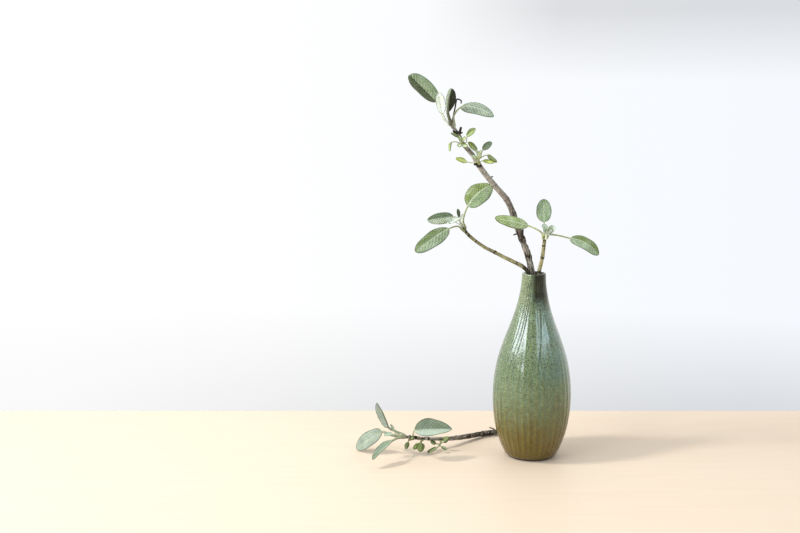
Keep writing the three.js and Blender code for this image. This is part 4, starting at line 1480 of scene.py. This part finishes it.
# Where each leaf grows and how it looks, in millimetres and degrees. at is its place on the stem, via the way
# of its stalk, base and tip are the ends of its blade, and face is the way its upper side looks. A small leaf
# starts at a share of its spray's axis.

BRANCH_LEAVES = {
    # Painted shade on the lower half, which faces away from the light, and a dark crease by the midrib.
    "top_leaf_far_left": dict(
        at=(-83.4, -2.1, 336.8),
        via=[(-90.2, 0.6, 342), (-95, 1.2, 351.6)],
        base=(-99.8, -0.4, 360.6),
        tip=(-126, -11, 386.4),
        face=(-0.32, -0.88, -0.33),
        width=21.5,
        fold=-30,
        bow=1,
        tone=(1.1, 0.36),
        wool=(0.2, 0),
        rib=0.1,
        crease=0.85,
        veins=1.6,
    ),
    # Painted shade: the leaf is seen from behind in its own shade, so it is darkened all over, most on its
    # right half, and its pale under side is painted partly or wholly in the upper side's green.
    "top_leaf_upright": dict(
        at=(-85.4, -2.4, 339.2),
        via=[(-86.4, -6, 343.6)],
        base=(-88.2, -9.4, 350.6),
        tip=(-85, -16, 373.5),
        face=(0.66, 0.75, 0.2),
        width=14.5,
        fold=26,
        bow=-1.2,
        tone=(0.45, 0.06),
        warm=0.45,
        felt=(0.5, 0),
        taper=0.55,
        stalk=1.7,
        wool=(0.3, 0),
        rib=0.2,
        crease=0.3,
    ),
    # Near white: woolly, and painted light where the light shines through it from behind.
    "top_leaf_pale": dict(
        at=(-84.6, -2.3, 338.2),
        via=[(-90.6, -3.2, 343.6)],
        base=(-93.6, -5.2, 349.5),
        tip=(-96.8, -7.6, 369.8),
        face=(-0.25, -0.9, 0.2),
        width=10,
        fold=14,
        bow=-1,
        wool=1.25,
        tone=0.88,
        veins=0,
    ),
    "top_leaf_right": dict(
        at=(-82, -2, 335),
        via=[(-82.2, -3.8, 347)],
        base=(-75, -3.5, 355.8),
        tip=(-43.8, -14, 346.6),
        face=(0.2, -0.8, 0.55),
        width=15.5,
        fold=-9,
        bow=1.6,
        sweep=2.8,
        wool=0.45,
        point=0.35,
        stalk=1.0,
        veins=2.0,
        tone=0.74,
    ),
}

LEFT_LEAVES = {
    "left_leaf_round": dict(
        at=(-69.6, 7.7, 232.4),
        via=[(-71.2, 9.6, 240.5), (-69.8, 10.6, 248.5)],
        base=(-66.6, 11, 256.6),
        tip=(-42.6, 19.5, 277),
        face=(-0.3, -0.84, 0.45),
        width=23.5,
        fold=-8,
        bow=1.5,
        sweep=2.4,
        warm=(0.1, 0.4),
        wool=(0.1, 0),
        tone=(0.86, 0.66),
    ),
    # Painted shade on the upper half, which faces down and away from the light.
    "left_leaf_folded": dict(
        at=(-69.4, 7.6, 231.8),
        via=[(-76.5, 12, 243.6)],
        base=(-81.4, 14.5, 245.2),
        tip=(-107, 23, 240.6),
        face=(0, -0.95, 0.2),
        width=13,
        fold=-25,
        bow=1,
        tone=(0.34, 0.9),
        wool=(0, 0.5),
        crease=0.2,
    ),
    "left_leaf_low": dict(
        at=(-68.8, 7.5, 231),
        via=[(-76.5, 4.6, 236.6)],
        base=(-86.4, 2, 234.8),
        tip=(-119.6, -12, 213.2),
        face=(-0.3, -0.8, 0.52),
        width=18.5,
        fold=-8,
        bow=2,
        warm=(0.2, 0.05),
        wool=(0, 0.2),
        tone=(0.55, 0.78),
        veins=1.2,
    ),
}

RIGHT_LEAVES = {
    "right_leaf_left": dict(
        at=(9.2, -5.5, 224.4),
        via=[(6.5, -7.6, 231), (1.5, -9.5, 235)],
        base=(-8.4, -12, 240),
        tip=(-42, -22, 248.2),
        face=(0.12, -0.76, 0.62),
        width=14,
        fold=-6,
        bow=1.6,
        sweep=0.8,
        warm=0.35,
        wool=0.1,
        tone=1.1,
    ),
    "right_leaf_upright": dict(
        at=(9.5, -5.9, 226.6),
        via=[(9.3, -3.4, 235)],
        base=(8.7, -2.4, 242),
        tip=(8.6, 3.5, 264.3),
        face=(0.05, -0.97, 0.2),
        width=15.5,
        fold=10,
        bow=-1.2,
        wool=0.15,
        rib=1.2,
        tone=1.02,
    ),
    "right_leaf_right": dict(
        at=(9.3, -5.6, 225.2),
        via=[(13, -6.8, 229.6), (21, -7.4, 229.4)],
        base=(34.8, -8, 226.4),
        tip=(62.2, -14, 210.9),
        face=(0.35, -0.75, 0.56),
        width=16,
        fold=-6,
        bow=2,
        sweep=2.6,
        warm=(0.05, 0.3),
        tone=(0.92, 0.72),
        wool=(0.25, 0),
    ),
}

SPRIG_LEAVES = {
    "sprig_leaf_upright": dict(
        at=(-129.1, -0.9, 18.4),
        via=[(-138.5, 0.5, 23.4)],
        base=(-147.5, 1.3, 27.8),
        tip=(-158.8, 8, 52.2),
        face=(-0.74, -0.64, -0.2),
        width=13.5,
        fold=33,
        bow=-1,
        wool=(0.5, 0.65),
        tone=(0.43, 0.58),
        rib=1.3,
        stalk=1.4,
    ),
    "sprig_leaf_left": dict(
        at=(-132.6, -2.3, 19.2),
        via=[(-143.3, -2.5, 20.6)],
        base=(-153.6, -0.9, 24),
        tip=(-180.8, 12.4, 1.8),
        face=(-0.25, -0.68, 0.68),
        width=18.5,
        fold=8,
        bow=1.6,
        sweep=0.8,
        wool=0.55,
        tone=0.6,
        veins=1.3,
        stalk=1.3,
    ),
    "sprig_leaf_front": dict(
        at=(-130.1, -1.3, 18.6),
        via=[(-136.8, -13.1, 21.3)],
        base=(-142.9, -25.2, 22.9),
        tip=(-162.1, -46.8, 9.9),
        face=(-0.25, -0.2, 0.95),
        width=10.8,
        fold=18,
        bow=1.4,
        wool=0.3,
        tone=0.65,
        veins=1.3,
        stalk=1.4,
    ),
    "sprig_leaf_large": dict(
        at=(-121, 2.7, 16.6),
        via=[(-121.3, -6.6, 24)],
        base=(-120.2, -17, 30.3),
        tip=(-82.2, -17, 31.7),
        face=(0.02, -0.67, 0.74),
        width=24.5,
        fold=30,
        bow=1,
        wool=(0.6, 0.3),
        tone=(0.8, 0.54),
        point=0.5,
        veins=0.7,
    ),
}

BRANCH_SPRAYS = {
    "branch_spray_upper": dict(
        at=(-72, -2, 318.6),
        axis=[(-74.5, -7.4, 319.6), (-74.8, -8.2, 323.6)],
        radii=[1.0, 1.2, 0.9],
        warm=0.5,
        tone=(0.95, 0.52),
        leaves=[
            dict(
                start=0.45,
                via=[(-70, -7, 321.5)], base=(-69.6, -8, 327.4), tip=(-61.2, -12, 334.6),
                face=(-0.4, -0.7, 0.6), width=8.0, fold=14,
            ),
            dict(
                start=0.75,
                base=(-78, -8, 326.4), tip=(-85.4, -10, 330.4),
                face=(0.3, -0.5, 0.8), width=5.1, fold=10,
            ),
            dict(
                start=0.5,
                via=[(-80, -9, 321.8)], base=(-84.8, -10, 321.6), tip=(-86, -12, 312.8),
                face=(-0.9, -0.35, 0.1), width=6.1, fold=24,
            ),
            dict(
                start=0.7,
                base=(-75.6, -9.4, 323.4), tip=(-77.6, -11, 328),
                face=(0.3, -0.8, 0.2), width=4.0, fold=20, wool=0.35, tone=1.15,
            ),
            dict(
                start=0.7,
                base=(-73.4, -9.4, 323), tip=(-71, -11.4, 327.2),
                face=(-0.4, -0.8, 0.2), width=3.7, fold=20, wool=0.35, tone=1.15,
            ),
            dict(
                start=0.4,
                base=(-75.4, -9.2, 319.4), tip=(-78.6, -11.4, 317.4),
                face=(0, -0.85, 0.5), width=4.9, fold=16, wool=0.35, tone=1.15,
            ),
            dict(
                start=0.4,
                base=(-72.6, -9.2, 319), tip=(-69.8, -11.6, 316.6),
                face=(0.1, -0.85, 0.5), width=5.4, fold=16, wool=0.35, tone=1.15,
            ),
        ],
    ),
    "branch_spray_lower": dict(
        at=(-57.4, -1, 299.6),
        axis=[(-57.8, -7, 302.6), (-57.6, -8.6, 308.4)],
        radii=[1.2, 1.3, 0.9],
        warm=0.7,
        tone=(0.62, 1.0),
        leaves=[
            dict(
                start=0.8,
                via=[(-58.6, -9.6, 310.4)], base=(-59.6, -10, 313.4), tip=(-68.6, -13, 321.6),
                face=(0.3, -0.75, 0.6), width=7.3, fold=10, warm=0.8,
            ),
            dict(
                start=0.75,
                via=[(-55.4, -8.4, 309.6)], base=(-53.9, -8.4, 314.2), tip=(-45, -9.4, 321.6),
                face=(-0.4, -0.75, 0.5), width=7.7, fold=8, warm=0.1, tone=0.45, wool=0.1,
            ),
            dict(
                start=0.65,
                via=[(-52.6, -8.2, 308)], base=(-48.8, -8.2, 309.2), tip=(-39.8, -10.4, 302),
                face=(0.45, -0.6, 0.65), width=6.8, fold=-8, warm=0.6, tone=0.68,
            ),
            dict(
                start=0.3,
                base=(-53.4, -9.2, 303.8), tip=(-43.6, -15, 301.4),
                face=(0.15, -0.6, 0.8), width=7.0, fold=8, warm=1.0, tone=0.95,
            ),
            dict(
                start=0.35,
                via=[(-63.5, -9, 301.4)], base=(-69.6, -11.6, 302.8), tip=(-80.6, -16, 305.8),
                face=(-0.1, -0.62, 0.78), width=8.0, fold=6, warm=1.0, tone=1.1,
            ),
            dict(
                start=0.9,
                base=(-58.6, -9.8, 309.4), tip=(-61.6, -12, 314.4),
                face=(0.6, -0.6, 0.2), width=4.2, fold=24, wool=0.45, tone=1.25,
            ),
            dict(
                start=0.9,
                base=(-56.8, -10, 309.2), tip=(-56, -12.6, 314),
                face=(-0.2, -0.8, 0.2), width=4.0, fold=24, wool=0.45, tone=1.25,
            ),
            dict(
                start=0.45,
                base=(-60.2, -10.2, 305), tip=(-64.4, -14, 308.6),
                face=(0.4, -0.6, 0.5), width=5.6, fold=18, wool=0.45, tone=1.25,
            ),
            dict(
                start=0.6,
                base=(-57.4, -10.4, 306.4), tip=(-58.6, -14.4, 311.6),
                face=(0.1, -0.8, 0.3), width=6.1, fold=20, wool=0.45, tone=1.25,
            ),
        ],
    ),
}

LEFT_SPRAYS = {
    "left_spray_tip": dict(
        at=(-70.6, 7.9, 234),
        axis=[(-73.6, 8.2, 237.2), (-74.8, 7.8, 241.2)],
        radii=[0.9, 1.0, 0.7],
        wool=0.6,
        leaves=[
            dict(
                start=0.75,
                base=(-75.6, 6.2, 244.6), tip=(-87.6, 2.6, 240.2),
                face=(-0.2, -0.8, 0.6), width=5.6, fold=16, wool=0.9,
            ),
            dict(
                start=0.6,
                via=[(-80, 5, 241)], base=(-83.4, 4, 240.6), tip=(-88.6, 2.6, 245),
                face=(0.3, -0.9, 0.1), width=7.5, roll=100, wool=0.9,
            ),
            dict(
                start=0.95,
                base=(-75.8, 7, 245.6), tip=(-77.2, 8, 254),
                face=(0.5, -0.85, 0.1), width=4.4, fold=22, wool=0, warm=0.1, tone=0.45,
            ),
            dict(
                start=0.95,
                base=(-73.8, 5.4, 243.4), tip=(-71.6, 3, 249.6),
                face=(-0.6, 0.6, 0.4), width=3.4, fold=24,
            ),
        ],
    ),
}

RIGHT_SPRAYS = {
    "right_spray_tip": dict(
        at=(9.4, -5.8, 226),
        axis=[(10.4, -8.8, 228.6), (10.9, -9.2, 230.4)],
        radii=[0.9, 1.0, 0.8],
        wool=0.8,
        leaves=[
            dict(
                start=0.9,
                base=(9, -9.4, 232), tip=(6.2, -10.6, 240.8),
                face=(0.55, -0.75, 0.2), width=9.4, roll=75,
            ),
            dict(
                start=0.9,
                base=(11, -9.6, 230.6), tip=(18, -11.6, 238.8),
                face=(-0.35, -0.9, 0.1), width=12.5, roll=115,
            ),
            dict(
                start=0.95,
                base=(12.4, -11, 232.2), tip=(15.4, -12.6, 236.2),
                face=(-0.3, -0.9, 0.2), width=5, roll=95,
            ),
        ],
    ),
}

SPRIG_SPRAYS = {
    "sprig_spray_tip": dict(
        at=(-133.2, -2.5, 19.3),
        axis=[(-137.2, -5, 21.8), (-139.5, -7.3, 23.4)],
        radii=[0.9, 1.0, 0.7],
        wool=0.5,
        leaves=[
            dict(
                start=0.9,
                base=(-142.8, -10.4, 24.8), tip=(-151.2, -15.8, 24.6),
                face=(0.1, -0.4, 0.9), width=6.2, fold=24,
            ),
            dict(
                start=0.9,
                base=(-141.1, -7.7, 26.8), tip=(-145.3, -8.3, 34),
                face=(0.8, -0.4, 0.4), width=4.6, fold=26,
            ),
        ],
    ),
    "sprig_spray_first": dict(
        at=(-124.2, 1.1, 17.3),
        axis=[(-125.6, -2.3, 16), (-126.1, -3.8, 15)],
        radii=[0.9, 1.0, 0.7],
        warm=0.5,
        tone=(0.75, 0.35),
        leaves=[
            dict(
                start=0.7,
                base=(-126.7, -4.7, 13.8), tip=(-128.9, -10.8, 8.6),
                face=(-0.2, -0.6, 0.7), width=5.1, fold=16,
            ),
            dict(
                start=0.6,
                base=(-124, -4.1, 17.4), tip=(-120.8, -6.5, 20.6),
                face=(-0.3, -0.6, 0.4), width=3.7, fold=20,
            ),
        ],
    ),
    "sprig_spray_middle": dict(
        at=(-112.3, 5.9, 14.9),
        axis=[(-112.7, 2, 13.6), (-113.1, 0.3, 12.3)],
        radii=[0.9, 1.0, 0.7],
        warm=0.5,
        tone=(0.75, 0.4),
        leaves=[
            dict(
                start=0.7,
                base=(-112.7, -0.6, 11.5), tip=(-114.6, -9.4, 5.1),
                face=(0.1, -0.35, 0.93), width=8.1, fold=12,
            ),
            dict(
                start=0.6,
                base=(-115.3, -0.2, 11.3), tip=(-120.8, -5.7, 6.4),
                face=(-0.2, -0.4, 0.9), width=5.9, fold=12,
            ),
        ],
    ),
    "sprig_spray_last": dict(
        at=(-93.4, 14.7, 11.1),
        axis=[(-92.8, 9.9, 7.8), (-94.5, 6.3, 6.2)],
        radii=[1.0, 1.0, 0.8],
        warm=0.4,
        tone=(0.35, 0.85),
        leaves=[
            dict(
                start=0.4,
                base=(-89.8, 8.8, 9.6), tip=(-84, 6.9, 15.4),
                face=(-0.5, -0.75, 0.45), width=6.2, fold=10,
            ),
            dict(
                start=0.95,
                base=(-97, 4.5, 5), tip=(-106.5, -3.7, 2.3),
                face=(0.1, -0.2, 0.97), width=5.1, fold=14,
            ),
            dict(
                start=0.6,
                base=(-97.9, 7.7, 8.2), tip=(-103.6, 3.6, 12.2),
                face=(0.2, -0.8, 0.5), width=4.6, fold=16,
            ),
            dict(
                start=0.8,
                base=(-91.7, 4.9, 6), tip=(-86.8, 0.3, 3.8),
                face=(0.1, -0.3, 0.94), width=4.6, fold=14,
            ),
        ],
    ),
}


LEAF_GROUPS = (
    (BRANCH, BRANCH_LEAVES),
    (LEFT_SHOOT, LEFT_LEAVES),
    (RIGHT_SHOOT, RIGHT_LEAVES),
    (SPRIG, SPRIG_LEAVES),
)
SPRAY_GROUPS = (
    (BRANCH, BRANCH_SPRAYS),
    (LEFT_SHOOT, LEFT_SPRAYS),
    (RIGHT_SHOOT, RIGHT_SPRAYS),
    (SPRIG, SPRIG_SPRAYS),
)
FULL_SEED = 100
SPRAY_SEED = 300
SPRAY_SEED_STEP = 20  # more than any spray has leaves


class IKEBANA_OT_full_leaves(Operator):
    """Grows the full leaves of the branch, its two shoots and the sprig"""

    bl_idname = "ikebana.full_leaves"
    bl_label = "Full Leaves"

    def execute(self, context):
        settings = context.scene.ikebana_leaf
        names = {"leaf": "sage_leaf", "pale_leaf": "pale_sage_leaf"}
        materials = {slot: leaf_material(name, settings) for slot, name in names.items()}
        seed = FULL_SEED
        for host, leaves in LEAF_GROUPS:
            for node, leaf in leaves.items():
                seed += 1
                piece = full_leaf(node, host, leaf, settings, seed)
                slot = "pale_leaf" if node == "top_leaf_pale" else "leaf"
                piece.data.materials.append(materials[slot])
                hand_over(piece, node)
        return {"FINISHED"}


class IKEBANA_OT_sprays(Operator):
    """Grows the sprays of small young leaves"""

    bl_idname = "ikebana.sprays"
    bl_label = "Young Sprays"

    def execute(self, context):
        settings = context.scene.ikebana_leaf
        names = {"young_leaf": "young_sage_leaf", "pale_leaf": "woolly_sage_leaf"}
        materials = {slot: leaf_material(name, settings) for slot, name in names.items()}
        seed = SPRAY_SEED
        for host, sprays in SPRAY_GROUPS:
            for node, spray in sprays.items():
                seed += SPRAY_SEED_STEP
                piece = leaf_spray(node, host, spray, settings, seed)
                slot = "pale_leaf" if node.endswith("_tip") else "young_leaf"
                piece.data.materials.append(materials[slot])
                hand_over(piece, node)
        return {"FINISHED"}


# The stage

TABLE_SIZE = (3, 2, 0.03)
TABLE_MIDDLE = (0, -0.8467, -0.015)
TABLE_EDGE = 0.002
ARRANGEMENT_MIDDLE = (-0.03, 0, 0.12)
SUN_TINT = (1, 0.98, 0.95)
DAY_TINT = (0.84, 0.92, 1)
SKY_TINT = (0.7, 0.87, 1)
ROOM_TINT = (1, 0.99, 0.97, 1)
# The windows: where each stands, what it faces, its size and its tint.
WINDOWS = {
    "high_window": dict(
        place=(-0.9, -0.2, 1.05),
        target=ARRANGEMENT_MIDDLE,
        width=0.16,
        height=0.16,
        tint=SUN_TINT,
    ),
    "left_window": dict(
        place=(-2.75, -0.57, 1.27),
        target=(-2.11, 0.2, 1.27),
        width=3.5,
        height=0.6,
        tint=DAY_TINT,
    ),
    "low_window": dict(
        place=(-2.05, -2.05, 0.53),
        target=ARRANGEMENT_MIDDLE,
        width=0.3,
        height=0.4,
        tint=DAY_TINT,
    ),
    "sky_window": dict(
        place=(1.31, -1.5, 1.05),
        target=ARRANGEMENT_MIDDLE,
        width=1.9,
        height=0.42,
        tint=SKY_TINT,
    ),
}
CAMERA_PLACE = (-0.135, -1.1028, 0.3811)
CAMERA_TILT = 80.5
CAMERA_LENS = 50
CAMERA_SENSOR = 36


def area_light(name, place, target, width, height, power, tint):
    """A rectangular light that looks at a target and isn't seen itself."""
    deselect_all()
    bpy.ops.object.light_add(type="AREA", location=place)
    light = bpy.context.object
    light.name = light.data.name = name
    light.rotation_euler = (Vector(target) - Vector(place)).to_track_quat("-Z", "Y").to_euler()
    light.data.shape = "RECTANGLE"
    light.data.size, light.data.size_y = width, height
    light.data.energy = power
    light.data.color = tint
    light.visible_camera = False


def make_table(stage):
    """A plain pale board with a faint grain along X."""
    deselect_all()
    bpy.ops.mesh.primitive_cube_add(size=1, location=TABLE_MIDDLE, scale=TABLE_SIZE)
    bpy.ops.object.transform_apply(location=True, rotation=True, scale=True)
    table = bpy.context.object
    table.name = table.data.name = "table_top"
    bpy.ops.object.modifier_add(type="BEVEL")
    table.modifiers[-1].width = TABLE_EDGE
    table.modifiers[-1].segments = 3
    bpy.ops.object.modifier_apply(modifier=table.modifiers[-1].name)
    nodes = Nodes(bpy.data.materials.new("pale_table"))
    grain = nodes.noise(nodes.place((2.5, 40, 40)), 3, 4, 0.6)
    deep = nodes.mix(0.06, stage.table, stage.grain)
    nodes.surface(
        Base_Color=nodes.mix(nodes.spread(grain, 0.35, 0.65), stage.table, deep),
        Roughness=nodes.spread(grain, 0.3, 0.7, 0.45, 0.55),
        Specular_IOR_Level=0.4,
    )
    table.data.materials.append(nodes.owner)


def make_room(stage):
    """A pale room. The camera sees a near-white wall, a little cooler on the right and dimmer low down and at
    the top right. The light comes from a brighter wall behind and a dimmer front."""
    nodes = Nodes(bpy.data.worlds.new("pale_room"))
    nodes.tree.nodes.clear()
    x, y, z = nodes.split(nodes.add("ShaderNodeTexCoord", output="Generated"))

    strength = nodes.times(nodes.spread(z, -0.05, 0.9, 0.36, 0.6), nodes.spread(y, -0.5, 0.6, 0.7, 1.8))
    strength = nodes.times(strength, nodes.spread(x, -0.8, 0.8, 1.0, 1.4))
    light = nodes.add("ShaderNodeBackground", {"Color": ROOM_TINT, "Strength": strength})

    tone = nodes.mix(nodes.spread(x, -0.12, 0.3), stage.wall, stage.cool_wall)
    low = nodes.times(nodes.spread(z, -0.2, -0.3), nodes.spread(x, -0.3, 0.3, 0.2, 1))
    top = nodes.times(nodes.spread(z, 0, 0.06, 0, 0.24), nodes.spread(x, 0.02, 0.14))
    shade = nodes.times(nodes.spread(low, 0, 1, 1.0, 0.68), nodes.rest(top))
    wall = nodes.add("ShaderNodeBackground", {"Color": tone, "Strength": shade})

    seen = nodes.add("ShaderNodeLightPath", output="Is Camera Ray")
    both = nodes.add("ShaderNodeMixShader", {0: seen, 1: light, 2: wall})
    nodes.give(nodes.tree.nodes.new("ShaderNodeOutputWorld").inputs[0], both)
    bpy.context.scene.world = nodes.owner


def place_windows(stage):
    """Soft daylight: a high warm window and two on the left, and a cool one on the right."""
    powers = {
        "high_window": stage.key,
        "left_window": stage.window,
        "low_window": stage.window * stage.low_share,
        "sky_window": stage.sky,
    }
    for name, window in WINDOWS.items():
        area_light(name, power=powers[name], **window)


def place_camera():
    """The camera stands in front and a little above, and looks down at the arrangement."""
    deselect_all()
    bpy.ops.object.camera_add(location=CAMERA_PLACE, rotation=(math.radians(CAMERA_TILT), 0, 0))
    camera = bpy.context.object
    camera.name = "camera"
    camera.data.lens = CAMERA_LENS
    camera.data.sensor_width = CAMERA_SENSOR
    bpy.context.scene.camera = camera


class IKEBANA_OT_stage(Operator):
    """Sets the pale table top, the room, its soft lights and the camera"""

    bl_idname = "ikebana.stage"
    bl_label = "Stage"

    def execute(self, context):
        stage = context.scene.ikebana_stage
        make_table(stage)
        make_room(stage)
        place_windows(stage)
        place_camera()
        context.scene.view_settings.view_transform = "Standard"
        return {"FINISHED"}


# The sidebar

OPERATORS = (
    IKEBANA_OT_vase,
    IKEBANA_OT_water,
    IKEBANA_OT_main_branch,
    IKEBANA_OT_shoots,
    IKEBANA_OT_sprig_stem,
    IKEBANA_OT_full_leaves,
    IKEBANA_OT_sprays,
    IKEBANA_OT_stage,
)
SETTINGS = {
    "ikebana_vase": VaseSettings,
    "ikebana_leaf": LeafSettings,
    "ikebana_wood": WoodSettings,
    "ikebana_stage": StageSettings,
}


class IKEBANA_PT_panel(Panel):
    """Lists the pieces of the arrangement and their settings"""

    bl_idname = "IKEBANA_PT_panel"
    bl_label = "Sage Ikebana"
    bl_space_type = "VIEW_3D"
    bl_region_type = "UI"
    bl_category = "Ikebana"

    def draw(self, context):
        for operator in OPERATORS:
            self.layout.operator(operator.bl_idname)
        for name, group in SETTINGS.items():
            box = self.layout.box()
            for key in group.__annotations__:
                box.prop(getattr(context.scene, name), key)


def register():
    for group in SETTINGS.values():
        bpy.utils.register_class(group)
    for operator in OPERATORS:
        bpy.utils.register_class(operator)
    bpy.utils.register_class(IKEBANA_PT_panel)
    for name, group in SETTINGS.items():
        setattr(bpy.types.Scene, name, PointerProperty(type=group))


def unregister():
    for name in SETTINGS:
        delattr(bpy.types.Scene, name)
    for group in (IKEBANA_PT_panel, *reversed(OPERATORS), *reversed(SETTINGS.values())):
        bpy.utils.unregister_class(group)


def main():
    register()
    for operator in OPERATORS:
        name = operator.bl_idname.split(".")[1]
        getattr(bpy.ops.ikebana, name)()


if __name__ == "__main__":
    main()
